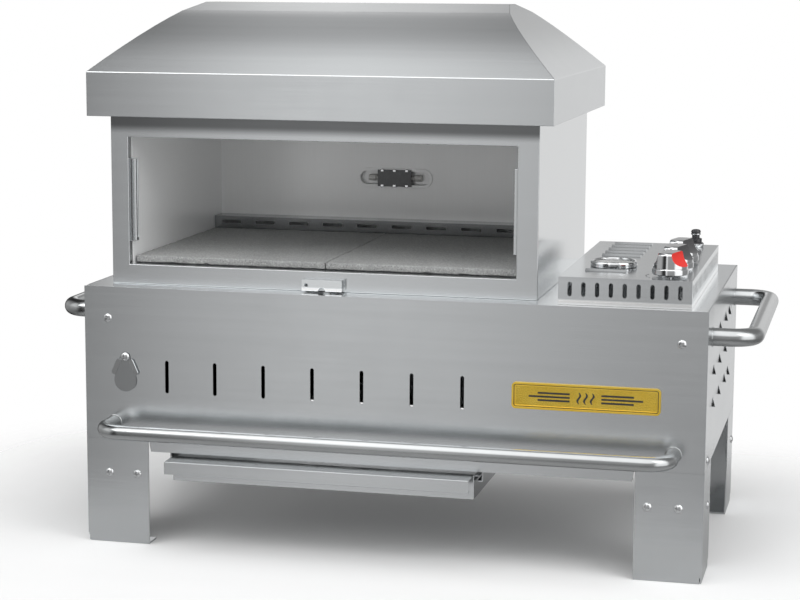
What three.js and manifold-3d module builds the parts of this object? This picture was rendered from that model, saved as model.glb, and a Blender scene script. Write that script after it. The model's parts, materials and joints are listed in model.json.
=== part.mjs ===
// Table-top gas pizza oven: a folded stainless base on four angle legs carries a stone-floored
// chamber under a hipped hood, with a control box beside it. Millimetres, +Z up, front faces -Y.
import * as THREE from "three";
import { mergeVertices } from "three/addons/utils/BufferGeometryUtils.js";
import Module from "manifold-3d";

const wasm = await Module();
wasm.setup();

// Driving dimensions. X is measured from the middle of the base, Y from the base's front face.
const sheet = 2; // sheet thickness
const gap = 0.3; // clearance between pieces that touch
const tubeRadius = 12.7; // front rail

const base = { half: 533.5, depth: 574, bottom: 184, top: 450, lip: 165, lipHalf: 416, wrap: 20 };
const leg = { width: 113, tongue: 262, tongueBottom: 96, hem: 14, hemInset: 0.8, pad: 34 };
const frontSlot = { count: 7, first: -385.2, pitch: 86.1, width: 6.5, bottom: 269, top: 326 };
const louvre = { rows: 3, lowest: 273, rowPitch: 55, height: 17, length: 34, reach: 4.5 };
louvre.columns = [130, 240, 350, 424];
const port = { x: -460, pivotZ: 330, discX: -457, discZ: 289, discRadius: 20, holeRadius: 12 };
const plate = { x0: 215, x1: 460, z0: 277, z1: 321, corner: 7, thick: 3 };
const rail = { half: 482, y: -75, z: 213, bend: 38 };
const handle = { y0: 80, y1: 530, z: 397, reach: 67, bend: 38, radius: 15 };
const tray = { x0: -376, x1: 153, y0: 0, y1: 486, z0: 117, z1: 157 };
tray.rim = 8; // outward rolled rim that hangs in the runners
tray.lipReach = 46; // hollow pull along the front
tray.lipZ0 = 138;
tray.lipZ1 = 160;
const runner = { z0: 144, z1: 165, y0: 18, y1: 500 };

const chamber = { x0: -498, x1: 247, y0: 44, y1: 563, z0: base.top + gap, z1: 740 };
const mouth = { x0: -467, x1: 211, z0: 484, z1: 704, lip: 14 };
const liner = { y0: 62, y1: 545, z0: 470, z1: 728, ledge: 16, ledgeZ: 478 };
const rack = { y0: 70, y1: 498, z0: 480.3, z1: 484.2, bar: 14, bars: 9 };
const stone = { y0: 70, y1: 497, z0: 484.5, z1: 496.5, joint: -123.4, x0: -465, x1: 209 };
const riser = { y: 500, top: 519, slots: 10, slotLength: 38, slotHeight: 6, slotZ: 508 };
const guide = { y0: 48, y1: 61, z0: 523, z1: 666, depth: 8 };
const doorCatch = { x0: -153, x1: -83, z0: 453, z1: 472, reach: 17 };
const lamp = { x: -118, z: 597, length: 148, height: 37, window: 66, tube: 104, tubeRadius: 6 };

const hood = { x0: -528, x1: 276, y0: 10, y1: 592, z0: 740.5, z1: 815.4, hem: 12 };
const roof = { bendRadius: 506, startPitch: 41, endPitch: 17, bandRise: 14, bandRun: 80, sideRun: 1.075 };

const box = { x0: 286, x1: 504, y0: 17, y1: 495, z0: base.top + gap, z1: 496, flange: 6 };
const boxSlot = { pitch: 22.5, width: 7, bottom: 464, top: 488, front: 9, side: 20 };
const boxLouvre = { x0: 318, x1: 386, ys: [95, 292, 334, 376, 418, 460], depth: 16, rise: 4 };
const knob = { x: 462, ys: [68, 155, 242], radius: 30, height: 37, grip: 12, lift: 4 };
knob.scoop = 22; // radius of the finger scoops
knob.scoopZ = 13; // their lowest point over the knob's underside
const gauge = { x: 357, y: 165, radius: 40, height: 10, rest: 135 };
const igniter = { x: 465, y: 465, travel: 6 };
const valve = { z0: 396, z1: 434, half: 13, stemRadius: 4, stemTop: 514 };
const burner = { ys: [140, 285, 430], z: 413, radius: 12, end: -430, mouth: 441 };
const manifold = { z: 385, radius: 10, y0: 40, end: 594, nut: 15 };

const steel = { color: 0x969ca0, roughness: 0.35, metalness: 1 };
const polished = { color: 0xc8cccf, roughness: 0.1, metalness: 1 };
const brass = { color: 0xd8b040, roughness: 0.35, metalness: 1 };
const stoneLook = { color: 0xb9b7b2, roughness: 0.95, metalness: 0 };
const darkLook = { color: 0x2b2d30, roughness: 0.6, metalness: 0.2 };
const whiteLook = { color: 0xf0efe9, roughness: 0.7, metalness: 0 };
const clear = { color: 0xdfe7ea, roughness: 0.05, metalness: 0 };

// The whole assembly is moved back so that its origin lies under the middle of its outline.
const frontMost = rail.y - tubeRadius;
const assembly = new THREE.Group();
assembly.position.y = -(frontMost + manifold.end) / 2;

// Solids

function solidOf(geometry) {
  geometry.deleteAttribute("normal");
  geometry.deleteAttribute("uv");
  const merged = mergeVertices(geometry, 1e-3);
  const vertProperties = new Float32Array(merged.attributes.position.array);
  const triVerts = new Uint32Array(merged.index.array);
  return new wasm.Manifold(new wasm.Mesh({ numProp: 3, vertProperties, triVerts }));
}

function geometryOf(solid) {
  const { vertProperties, triVerts } = solid.getMesh();
  const geometry = new THREE.BufferGeometry();
  geometry.setAttribute("position", new THREE.BufferAttribute(vertProperties, 3));
  geometry.setIndex(new THREE.BufferAttribute(triVerts, 1));
  geometry.computeVertexNormals();
  return geometry;
}

function join(solids) {
  return solids.reduce((whole, solid) => whole.add(solid));
}

function cut(solid, tools) {
  return tools.reduce((whole, tool) => whole.subtract(tool), solid);
}

function add(name, look, solid) {
  const mesh = new THREE.Mesh(geometryOf(solid), new THREE.MeshStandardMaterial(look));
  mesh.name = name;
  assembly.add(mesh);
}

function block(x0, x1, y0, y1, z0, z1) {
  const geometry = new THREE.BoxGeometry(x1 - x0, y1 - y0, z1 - z0);
  geometry.translate((x0 + x1) / 2, (y0 + y1) / 2, (z0 + z1) / 2);
  return solidOf(geometry);
}

// A round bar along "x", "y" or "z" from one end to the other.
function rod(axis, [x, y, z], radius, length, sides = 24) {
  const geometry = new THREE.CylinderGeometry(radius, radius, length, sides);
  geometry.translate(0, length / 2, 0);
  if (axis === "x") geometry.rotateZ(-Math.PI / 2);
  if (axis === "z") geometry.rotateX(Math.PI / 2);
  geometry.translate(x, y, z);
  return solidOf(geometry);
}

// A turned piece: [radius, height] points from the axis round to the axis.
function turned(profile, [x, y, z], sides = 24) {
  const points = profile.map(([radius, height]) => new THREE.Vector2(radius, height));
  const geometry = new THREE.LatheGeometry(points, sides);
  geometry.rotateX(Math.PI / 2);
  geometry.translate(x, y, z);
  return solidOf(geometry);
}

// An outline in X and Z with a thickness in Y.
function frontPlate(outline, y0, y1, curveSegments = 5) {
  const settings = { depth: y1 - y0, bevelEnabled: false, curveSegments };
  const geometry = new THREE.ExtrudeGeometry(outline, settings);
  geometry.rotateX(Math.PI / 2);
  geometry.translate(0, y1, 0);
  return solidOf(geometry);
}

// An outline in Y and Z with a thickness in X.
function sidePlate(outline, x0, x1, curveSegments = 5) {
  const settings = { depth: x1 - x0, bevelEnabled: false, curveSegments };
  const geometry = new THREE.ExtrudeGeometry(outline, settings);
  geometry.rotateX(Math.PI / 2);
  geometry.rotateZ(Math.PI / 2);
  geometry.translate(x0, 0, 0);
  return solidOf(geometry);
}

// An outline in X and Y, standing from one height to another.
function standing(outline, z0, z1, curveSegments = 5) {
  const settings = { depth: z1 - z0, bevelEnabled: false, curveSegments };
  const geometry = new THREE.ExtrudeGeometry(outline, settings);
  geometry.translate(0, 0, z0);
  return solidOf(geometry);
}

function polygon(points) {
  return new THREE.Shape(points.map(([u, v]) => new THREE.Vector2(u, v)));
}

// A slot or a rounded bar: two half circles joined by straight sides.
function stadium(u, v, length, width, upright) {
  const radius = width / 2;
  const straight = length / 2 - radius;
  const [du, dv] = upright ? [0, straight] : [straight, 0];
  const start = upright ? 0 : -Math.PI / 2;
  const shape = new THREE.Shape();
  shape.absarc(u + du, v + dv, radius, start, start + Math.PI, false);
  shape.absarc(u - du, v - dv, radius, start + Math.PI, start + 2 * Math.PI, false);
  return shape;
}

function roundedPlate(u0, u1, v0, v1, radius) {
  const shape = new THREE.Shape();
  shape.absarc(u1 - radius, v0 + radius, radius, -Math.PI / 2, 0, false);
  shape.absarc(u1 - radius, v1 - radius, radius, 0, Math.PI / 2, false);
  shape.absarc(u0 + radius, v1 - radius, radius, Math.PI / 2, Math.PI, false);
  shape.absarc(u0 + radius, v0 + radius, radius, Math.PI, 1.5 * Math.PI, false);
  return shape;
}

// A centreline of straight runs and round bends, with stations only where it starts, turns and ends.
class BentLine extends THREE.Curve {
  constructor(corners, bend, turns = 6) {
    super();
    this.stations = [[corners[0], corners[1].clone().sub(corners[0]).normalize()]];
    for (let i = 1; i < corners.length - 1; i++) this.addBend(corners.slice(i - 1, i + 2), bend, turns);
    const [before, last] = corners.slice(-2);
    this.stations.push([last, last.clone().sub(before).normalize()]);
  }

  addBend([from, corner, to], bend, turns) {
    const into = corner.clone().sub(from).normalize();
    const out = to.clone().sub(corner).normalize();
    const angle = into.angleTo(out);
    const reach = bend * Math.tan(angle / 2);
    const side = out.clone().addScaledVector(into, -out.dot(into)).normalize();
    const start = corner.clone().addScaledVector(into, -reach);
    for (let k = 0; k <= turns; k++) {
      const turn = (angle * k) / turns;
      const point = start.clone().addScaledVector(into, bend * Math.sin(turn));
      point.addScaledVector(side, bend * (1 - Math.cos(turn)));
      const heading = into.clone().multiplyScalar(Math.cos(turn)).addScaledVector(side, Math.sin(turn));
      this.stations.push([point, heading]);
    }
  }

  station(u) {
    return this.stations[Math.round(u * (this.stations.length - 1))];
  }

  getPointAt(u) {
    return this.station(u)[0].clone();
  }

  getTangentAt(u) {
    return this.station(u)[1].clone();
  }
}

function tube(corners, radius, bend, sides = 12, turns = 5) {
  const path = new BentLine(corners.map((corner) => new THREE.Vector3(...corner)), bend, turns);
  const section = new THREE.Shape();
  section.absarc(0, 0, radius, 0, 2 * Math.PI, false);
  const settings = { steps: path.stations.length - 1, extrudePath: path, curveSegments: sides / 2 };
  return solidOf(new THREE.ExtrudeGeometry(section, settings));
}

function arrayOf(count, make) {
  return Array.from({ length: count }, (_, index) => make(index));
}

// Base

function addFrontPanel() {
  const { half, bottom, top, lip, lipHalf, wrap } = base;
  const corner = 3.5;
  const outline = polygon([
    [-half, bottom], [-lipHalf - corner, bottom], [-lipHalf, lip], [lipHalf, lip],
    [lipHalf + corner, bottom], [half, bottom], [half, top], [-half, top],
  ]);
  const face = frontPlate(outline, 0, sheet);
  const returns = [-1, 1].map((side) => {
    const edge = side * half;
    const [near, far] = [edge, edge - side * sheet].sort((a, b) => a - b);
    return block(near + 0.01, far - 0.01, 1, wrap, bottom + 0.5, top - 0.5);
  });
  const hem = block(-lipHalf, lipHalf, 1, 16, lip, lip + sheet);
  const slots = arrayOf(frontSlot.count, (i) => {
    const { first, pitch, bottom: low, top: high, width } = frontSlot;
    const outlineOfSlot = stadium(first + i * pitch, (low + high) / 2, high - low, width, true);
    return frontPlate(outlineOfSlot, -1, sheet + 1, 2);
  });
  const holes = [
    rod("y", [port.discX, -1, port.discZ], port.holeRadius, sheet + 2, 20),
    rod("y", [port.x, -1, port.pivotZ], 3.4, sheet + 2, 12),
  ];
  add("base_front_panel", steel, cut(join([face, ...returns, hem]), [...slots, ...holes]));
}

// One pressed louvre: a wedge with its mouth to the front, on the outside of a side panel.
function louvreHood(y, z, wall) {
  const { height, length, reach } = louvre;
  const wedge = (out, low, high) => {
    const shape = polygon([[0, low], [out, low], [0, high]]);
    return frontPlate(shape, 0, length);
  };
  const outer = wedge(reach, 0, height).translate(0, y, z);
  const inner = wedge(reach - 1, 1, height - 3).translate(0, y - 1.5, z);
  const hole = block(-sheet - 1, 0.1, y - 1.5, y + length - 1.5, z + 1, z + height - 3);
  const hollow = [inner, hole].map((one) => one.translate(wall, 0, 0));
  return { outer: outer.translate(wall, 0, 0), hollow };
}

function sidePanelOnRight() {
  const { half, depth, bottom, top, wrap } = base;
  const panel = block(half - sheet, half, wrap + gap, depth - wrap - gap, bottom, top);
  const hoods = [];
  for (const y of louvre.columns) {
    for (let row = 0; row < louvre.rows; row++) {
      hoods.push(louvreHood(y - louvre.length / 2, louvre.lowest + row * louvre.rowPitch, half));
    }
  }
  const outside = join([panel, ...hoods.map((one) => one.outer)]);
  return cut(outside, hoods.flatMap((one) => one.hollow));
}

function addSidePanels() {
  const right = sidePanelOnRight();
  add("base_right_panel", steel, right);
  add("base_left_panel", steel, right.mirror([1, 0, 0]));
}

function addBackPanel() {
  const { half, depth, bottom, top, wrap } = base;
  const face = block(-half, half, depth - sheet, depth, bottom, top);
  const returns = [-half, half - sheet].map((x) =>
    block(x + 0.01, x + sheet - 0.01, depth - wrap, depth - 1, bottom + 0.5, top - 0.5),
  );
  const slots = arrayOf(frontSlot.count, (i) => {
    const x = frontSlot.first + i * frontSlot.pitch;
    return frontPlate(stadium(x, 300, 57, frontSlot.width, true), depth - sheet - 1, depth + 1, 2);
  });
  const inletHole = rod("y", [knob.x, depth - sheet - 1, manifold.z], 12, sheet + 2, 20);
  add("base_back_panel", steel, cut(join([face, ...returns]), [...slots, inletHole]));
}

function addDeck() {
  const inner = base.half - sheet - gap;
  const deck = block(-inner, inner, sheet + gap, base.depth - sheet - gap, base.top - sheet, base.top);
  const fireOpening = block(mouth.x0, mouth.x1, 74, 540, base.top - 10, base.top + 10);
  const stems = knob.ys.map((y) => rod("z", [knob.x, y, base.top - 5], 9, 10, 16));
  const leads = rod("z", [igniter.x, igniter.y, base.top - 5], 12, 10, 16);
  add("base_deck", steel, cut(deck, [fireOpening, ...stems, leads]));
}

function addFloor() {
  const inner = base.half - sheet - gap;
  const tongue = sheet + gap + sheet + gap;
  const level = base.bottom + 2;
  const floor = block(-inner, inner, sheet + gap, base.depth - sheet - gap, level, level + sheet);
  const dripOpening = block(tray.x0 + 20, tray.x1 - 20, 40, 400, base.bottom - 10, base.bottom + 10);
  const size = leg.width + 1;
  const corners = [-1, 1].flatMap((side) =>
    [0, 1].map((back) => {
      const x = side * (base.half - size / 2);
      const y = back ? base.depth - size / 2 : size / 2;
      const reach = size / 2;
      return block(x - reach, x + reach, y - reach, y + reach, base.bottom - 5, base.bottom + 9);
    }),
  );
  const near = tongue + 2;
  const far = base.depth - near;
  const inset = block(-inner + tongue, inner - tongue, near, far, base.bottom, base.bottom + 6);
  const trimmed = floor.intersect(inset);
  add("base_floor", steel, cut(trimmed, [dripOpening, ...corners]));
}

// A front left leg: an angle under the panel corner with a joggled tongue behind it and a foot pad.
function cornerLeg() {
  const { width, tongue, tongueBottom, hem, hemInset, pad } = leg;
  const outer = base.bottom - gap;
  const x = -base.half;
  const behind = sheet + gap;
  const angle = (inset, length, thick, z0, z1) => {
    const near = x + inset;
    const outline = polygon([
      [near, inset], [x + length, inset], [x + length, inset + thick],
      [near + thick, inset + thick], [near + thick, length], [near, length],
    ]);
    return standing(outline, z0, z1);
  };
  const face = angle(0, width, sheet, hem, outer);
  const hemBand = angle(hemInset, width - 0.4, sheet, 0.01, hem + 1);
  const joggle = angle(behind - 0.7, width - 15, sheet, tongueBottom + 1, outer - 1);
  const upper = angle(behind + 0.2, width - 14, sheet, tongueBottom, tongue);
  const foot = angle(hemInset + 1, width - 1, pad, 0, sheet + 1);
  const notch = block(x - 1, x + 4, -1, 4, -1, hem - 4);
  return cut(join([face, hemBand, joggle, upper, foot]), [notch]);
}

function addLegs() {
  const frontLeft = cornerLeg();
  const backLeft = frontLeft.mirror([0, 1, 0]).translate(0, base.depth, 0);
  add("leg_front_left", steel, frontLeft);
  add("leg_front_right", steel, frontLeft.mirror([1, 0, 0]));
  add("leg_back_left", steel, backLeft);
  add("leg_back_right", steel, backLeft.mirror([1, 0, 0]));
}

function addRailAndHandles() {
  const { half, y, z, bend } = rail;
  const railCorners = [[-half, -gap, z], [-half, y, z], [half, y, z], [half, -gap, z]];
  add("front_rail", polished, tube(railCorners, tubeRadius, bend));
  const { y0, y1, reach, z: level, bend: turn, radius } = handle;
  const wall = base.half + gap;
  const out = base.half + reach;
  const corners = [[wall, y0, level], [out, y0, level], [out, y1, level], [wall, y1, level]];
  const right = tube(corners, radius, turn);
  add("handle_right", polished, right);
  add("handle_left", polished, right.mirror([1, 0, 0]));
}

function addNamePlate() {
  const { x0, x1, z0, z1, corner, thick } = plate;
  const blank = frontPlate(roundedPlate(x0, x1, z0, z1, corner), -gap - thick, -gap, 2);
  const sunk = roundedPlate(x0 + 7, x1 - 7, z0 + 7, z1 - 7, 4);
  const field = frontPlate(sunk, -gap - thick - 1, -gap - thick + 0.8, 2);
  add("name_plate", brass, cut(blank, [field]));
}

// The drop-shaped cover that swings aside on its screw to clear the lighting port.
function addPortCover() {
  const { x, pivotZ, discX, discZ, discRadius } = port;
  const back = -gap - 0.6;
  const drop = new THREE.Shape();
  drop.absarc(discX, discZ, discRadius, Math.PI * 0.94, Math.PI * 2.06, false);
  drop.absarc(x, pivotZ, 8, Math.PI * 0.12, Math.PI * 0.88, false);
  const face = frontPlate(drop, back - sheet, back, 8);
  const wing = (side) => {
    const [topIn, topOut, lowIn, lowOut] = [6, 9, 20, 23].map((out) => x + side * out);
    const [high, low] = [pivotZ + 4, discZ + 8];
    const shape = polygon([[topIn, high], [topOut, high], [lowOut, low], [lowIn, low]]);
    return frontPlate(shape, back - 9, back - 1);
  };
  const hole = rod("y", [x, back - 12, pivotZ], 3.4, 20, 12);
  add("lighting_port_cover", steel, cut(join([face, wing(-1), wing(1)]), [hole]));
  const shank = rod("y", [x, back - sheet - 1, pivotZ], 3, 14, 12);
  const head = rod("y", [x, back - sheet - 0.4 - 3, pivotZ], 7, 3, 16);
  add("port_cover_screw", polished, join([shank, head]));
}

function addPanelScrews() {
  const height = 3.5;
  for (const [name, x] of [["panel_screw_left", -491.5], ["panel_screw_right", 491.5]]) {
    const head = turned([[0, 0], [7.5, 0], [6, height * 0.6], [3, height], [0, height]], [0, 0, 0], 16);
    add(name, polished, head.rotate([90, 0, 0]).translate(x, -gap, 396));
  }
}

// Drip tray

function addDripTray() {
  const { x0, x1, y0, y1, z0, z1, lipReach, lipZ0, lipZ1, rim } = tray;
  const pan = block(x0, x1, y0, y1, z0, z1);
  const inside = block(x0 + sheet, x1 - sheet, y0 + sheet, y1 - sheet, z0 + sheet, z1 + 1);
  const rims = [
    block(x0 - rim, x0 + 1, y0 + 8, y1, z1 - sheet, z1),
    block(x1 - 1, x1 + rim, y0 + 8, y1, z1 - sheet, z1),
  ];
  const near = -lipReach;
  const lip = polygon([
    [y0 + sheet, z1 - 1], [y0 + sheet, lipZ1], [near, lipZ1], [near, lipZ0], [near + 12, lipZ0],
    [near + 12, lipZ0 + sheet], [near + sheet, lipZ0 + sheet], [near + sheet, lipZ1 - sheet],
    [y0, lipZ1 - sheet], [y0, z1 - 1],
  ]);
  const front = sidePlate(lip, x0, x1);
  add("drip_tray", steel, join([cut(pan, [inside]), ...rims, front]));
}

// Two channels under the base floor in which the tray's rims slide.
function addRunners() {
  const { z0, z1, y0, y1 } = runner;
  const web = tray.x1 + tray.rim + 1.5;
  const channel = polygon([
    [tray.x1 + 2, z0], [web + sheet, z0], [web + sheet, z1 + 20], [web + 22, z1 + 20],
    [web + 22, z1 + 20.7], [web, z1 + 20.7], [web, z0 + sheet], [tray.x1 + 2, z0 + sheet],
  ]);
  const right = frontPlate(channel, y0, y1);
  const middle = (tray.x0 + tray.x1) / 2;
  add("tray_runner_right", steel, right);
  add("tray_runner_left", steel, right.mirror([1, 0, 0]).translate(2 * middle, 0, 0));
}

// Chamber

function addFrontFrame() {
  const { x0, x1, y0, z0, z1 } = chamber;
  const face = block(x0, x1, y0, y0 + sheet, z0, z1);
  const [left, right] = [mouth.x0 - sheet, mouth.x1 + sheet];
  const collar = block(left, right, y0 + 1, y0 + mouth.lip, mouth.z0 - sheet, mouth.z1 + sheet);
  const opening = block(mouth.x0, mouth.x1, y0 - 1, y0 + 60, mouth.z0, mouth.z1);
  add("chamber_front_frame", steel, cut(join([face, collar]), [opening]));
}

function addChamberWrap() {
  const { x0, x1, y0, y1, z0, z1 } = chamber;
  const outer = block(x0, x1, y0 + sheet + gap, y1, z0, z1);
  const inner = block(x0 + sheet, x1 - sheet, y0, y1 - sheet, z0 - 1, z1 + 1);
  add("chamber_wrap", polished, cut(outer, [inner]));
}

function lampOutline(extra) {
  return stadium(lamp.x, lamp.z, lamp.length + extra, lamp.height + extra, false);
}

function addLiner() {
  const { y0, y1, z0, z1, ledge, ledgeZ } = liner;
  const outer = block(mouth.x0 - sheet, mouth.x1 + sheet, y0, y1 + sheet, z0, z1 + sheet);
  const inner = block(mouth.x0, mouth.x1, y0 - 1, y1, z0 - 1, z1);
  const ledges = [
    block(mouth.x0 - 1, mouth.x0 + ledge, y0, y1 + 1, ledgeZ, ledgeZ + sheet),
    block(mouth.x1 - ledge, mouth.x1 + 1, y0, y1 + 1, ledgeZ, ledgeZ + sheet),
  ];
  const lampHole = frontPlate(lampOutline(-6), y1 - 1, y1 + sheet + 1, 4);
  add("oven_liner", polished, cut(join([cut(outer, [inner]), ...ledges]), [lampHole]));
}

function addInsulation() {
  const air = 2;
  const x0 = chamber.x0 + sheet + gap;
  const x1 = chamber.x1 - sheet - gap;
  const y0 = liner.y0 + 2;
  const outer = block(x0, x1, y0, chamber.y1 - sheet - gap, liner.z0 + 4, chamber.z1 - 1);
  const edge = sheet + air / 2;
  const inner = block(mouth.x0 - edge, mouth.x1 + edge, y0 - 1, liner.y1 + edge, liner.z0, liner.z1 + edge);
  const half = lamp.length / 2 + 4;
  const lampRoom = block(lamp.x - half, lamp.x + half, liner.y1, 562, lamp.z - 24, lamp.z + 24);
  add("insulation_blanket", whiteLook, cut(outer, [inner, lampRoom]));
}

function addRackAndStones() {
  const { y0, y1, z0, z1, bar, bars } = rack;
  const left = mouth.x0 + gap;
  const right = mouth.x1 - gap;
  const pitch = (right - left - bar) / (bars - 1);
  const uprights = arrayOf(bars, (i) => block(left + i * pitch, left + i * pitch + bar, y0, y1, z0, z1));
  const cross = [block(left, right, y0, y0 + bar, z0, z1), block(left, right, y1 - bar, y1, z0, z1)];
  add("stone_rack", steel, join([...uprights, ...cross]));
  const seam = 0.6;
  const { y0: front, y1: back, z0: low, z1: high, joint } = stone;
  add("stone_left", stoneLook, block(stone.x0, joint - seam, front, back, low, high));
  add("stone_right", stoneLook, block(joint + seam, stone.x1, front, back, low, high));
}

function addRiser() {
  const { y, top, slots, slotLength, slotHeight, slotZ } = riser;
  const left = mouth.x0 + 1;
  const right = mouth.x1 - 1;
  const face = block(left, right, y, y + sheet, rack.z1 + gap, top);
  const shelf = block(left, right, y, liner.y1 - gap, top - sheet, top);
  const pitch = (right - left) / slots;
  const cuts = arrayOf(slots, (i) => {
    const x = left + (i + 0.5) * pitch - slotLength / 2;
    const z = slotZ - slotHeight / 2;
    return block(x, x + slotLength, y - 1, y + sheet + 1, z, z + slotHeight);
  });
  add("rear_riser", steel, cut(join([face, shelf]), cuts));
}

function addDoorFittings() {
  const { y0, y1, z0, z1, depth } = guide;
  const start = chamber.y0 + mouth.lip + gap;
  const channel = (wall, side) => {
    const near = wall + side * gap;
    const far = wall + side * depth;
    const low = Math.min(near, far);
    const high = Math.max(near, far);
    const whole = block(low, high, start, start + y1 - y0, z0, z1);
    const [inner, outer] = side > 0 ? [low + 3, high + 1] : [low - 1, high - 3];
    const groove = block(inner, outer, start + 4, start + 9, z0 + 6, z1 + 1);
    return cut(whole, [groove]);
  };
  add("door_guide_left", steel, channel(mouth.x0, 1));
  add("door_guide_right", steel, channel(mouth.x1, -1));
  const wall = chamber.y0 - gap;
  const { x0, x1, z0: low, z1: high, reach } = doorCatch;
  const middle = (x0 + x1) / 2;
  const body = block(x0, x1, wall - reach, wall, low, high);
  const hollow = block(x0 + 1.5, x1 - 1.5, wall - reach + 2, wall + 1, low - 1, high - 2);
  const notch = rod("y", [middle, wall - reach - 1, low], 6, 5, 16);
  const pinHole = rod("y", [x0 + 8, wall - reach - 1, (low + high) / 2], 3, 5, 12);
  add("door_catch", steel, cut(body, [hollow, notch, pinHole]));
}

function addLamp() {
  const front = liner.y1 - gap;
  const rim = frontPlate(lampOutline(0), front - 2, front, 4);
  const cup = frontPlate(lampOutline(-8), front - 1, 559, 4);
  const room = frontPlate(lampOutline(-12), front - 3, 557.5, 4);
  add("lamp_housing", polished, cut(join([rim, cup]), [room]));
  const { x, z, tube: length, tubeRadius: radius } = lamp;
  const bulb = rod("x", [x - length / 2, 549.5, z], radius - 2, length, 16);
  const caps = [x - length / 2, x + length / 2 - 14].map((at) => rod("x", [at, 549.5, z], radius, 14, 16));
  add("lamp_tube", whiteLook, join([bulb, ...caps]));
  const half = lamp.window / 2;
  add("lamp_glass", darkLook, block(x - half, x + half, front - 5.3, front - 2.3, z - 16, z + 16));
}

// Hood: stations of equal-height rectangles, joined into one skin.
function hoodStations(inset) {
  const start = THREE.MathUtils.degToRad(roof.startPitch);
  const end = THREE.MathUtils.degToRad(roof.endPitch);
  const steps = 6;
  const stations = [[0, 0, hood.z0 - inset], [0, 0, hood.z1]];
  for (let i = 1; i <= steps; i++) {
    const pitch = start + ((end - start) * i) / steps;
    const rise = roof.bendRadius * (Math.cos(pitch) - Math.cos(start));
    const run = roof.bendRadius * (Math.sin(start) - Math.sin(pitch));
    stations.push([rise * roof.sideRun, run, hood.z1 + rise]);
  }
  const [side, run, height] = stations.at(-1);
  stations.push([side + roof.bandRise * roof.sideRun, run + roof.bandRun, height + roof.bandRise]);
  const drop = inset * 1.05;
  return stations.map(([x, y, z], i) => [x + inset, y + inset, i < 2 ? z : z - drop]);
}

function loft(stations) {
  const positions = [];
  for (const [dx, dy, z] of stations) {
    const x0 = hood.x0 + dx;
    const x1 = hood.x1 - dx;
    const y0 = hood.y0 + dy;
    const y1 = hood.y1 - dy;
    positions.push(x0, y0, z, x1, y0, z, x1, y1, z, x0, y1, z);
  }
  const index = [0, 2, 1, 0, 3, 2];
  const last = 4 * (stations.length - 1);
  for (let level = 0; level < last; level += 4) {
    for (let k = 0; k < 4; k++) {
      const a = level + k;
      const b = level + ((k + 1) % 4);
      index.push(a, b, b + 4, a, b + 4, a + 4);
    }
  }
  index.push(last, last + 1, last + 2, last, last + 2, last + 3);
  const geometry = new THREE.BufferGeometry();
  geometry.setAttribute("position", new THREE.Float32BufferAttribute(positions, 3));
  geometry.setIndex(index);
  return solidOf(geometry);
}

function addHood() {
  const skin = cut(loft(hoodStations(0)), [loft(hoodStations(sheet))]);
  const { x0, x1, y0, y1, z0, hem } = hood;
  const ring = block(x0 + 1, x1 - 1, y0 + 1, y1 - 1, z0, z0 + sheet);
  const middle = block(x0 + hem, x1 - hem, y0 + hem, y1 - hem, z0 - 1, z0 + sheet + 1);
  add("hood", steel, join([skin, cut(ring, [middle])]));
}

// A flat tray that closes the chamber and carries the hood on its upturned edge.
function addChamberTop() {
  const z = chamber.z1 + gap;
  const { x0, x1, y0, y1, hem } = hood;
  const inside = sheet + gap;
  const bracket = block(x0 + inside, x1 - inside, y0 + inside, y1 - inside, z + 3, z + 3 + sheet);
  const edge = 14;
  const room = block(chamber.x0 + edge, chamber.x1 - edge, chamber.y0 + edge, chamber.y1 - edge, z, z + 10);
  const seat = block(chamber.x0, chamber.x1, chamber.y0, chamber.y1, z, z + 4);
  add("hood_bracket", steel, cut(join([bracket, seat]), [room]));
}

// Control box

function sideSlotOutline(i) {
  const start = (box.y0 + box.y1 - (boxSlot.side - 1) * boxSlot.pitch) / 2;
  const { bottom, top, width } = boxSlot;
  return stadium(start + i * boxSlot.pitch, (bottom + top) / 2, top - bottom, width, true);
}

function boxSlots() {
  const { bottom, top, width, front, side, pitch } = boxSlot;
  const start = (box.x0 + box.x1 - (front - 1) * pitch) / 2;
  const fronts = arrayOf(front, (i) => {
    const outline = stadium(start + i * pitch, (bottom + top) / 2, top - bottom, width, true);
    return frontPlate(outline, box.y0 - 1, box.y0 + sheet + 1, 2);
  });
  const sides = arrayOf(side, (i) => sidePlate(sideSlotOutline(i), box.x0 - 1, box.x1 + 1, 1));
  return [...fronts, ...sides];
}

function boxLouvres() {
  const { x0, x1, ys, depth, rise } = boxLouvre;
  const z = box.z1 - 0.5;
  const section = (y) => polygon([[y, z], [y + depth, z], [y + depth * 0.35, z + rise]]);
  const hoods = ys.map((y) => sidePlate(section(y), x0, x1));
  const mouths = ys.map((y) =>
    block(x0 + 3, x1 - 3, y + depth * 0.55, y + depth - 1, box.z1 - 4, box.z1 + rise),
  );
  return { hoods, mouths };
}

function addControlBox() {
  const { x0, x1, y0, y1, z0, z1, flange } = box;
  const outer = block(x0, x1, y0, y1, z0, z1);
  const inner = block(x0 + sheet, x1 - sheet, y0 + sheet, y1 - sheet, z0 - 1, z1 - sheet);
  const lip = block(x0, x1, y0 - 1.2, y0 + 1, z0, z0 + flange);
  const louvres = boxLouvres();
  const stems = knob.ys.map((y) => rod("z", [knob.x, y, z1 - 5], 9, 10, 16));
  const spigot = rod("z", [gauge.x, gauge.y, z1 - 5], 8, 10, 16);
  const shank = rod("z", [igniter.x, igniter.y, z1 - 5], 10.1, 10, 20);
  const skin = join([cut(outer, [inner]), lip, ...louvres.hoods]);
  add("control_box", steel, cut(skin, [...boxSlots(), ...louvres.mouths, ...stems, spigot, shank]));
}

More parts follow.
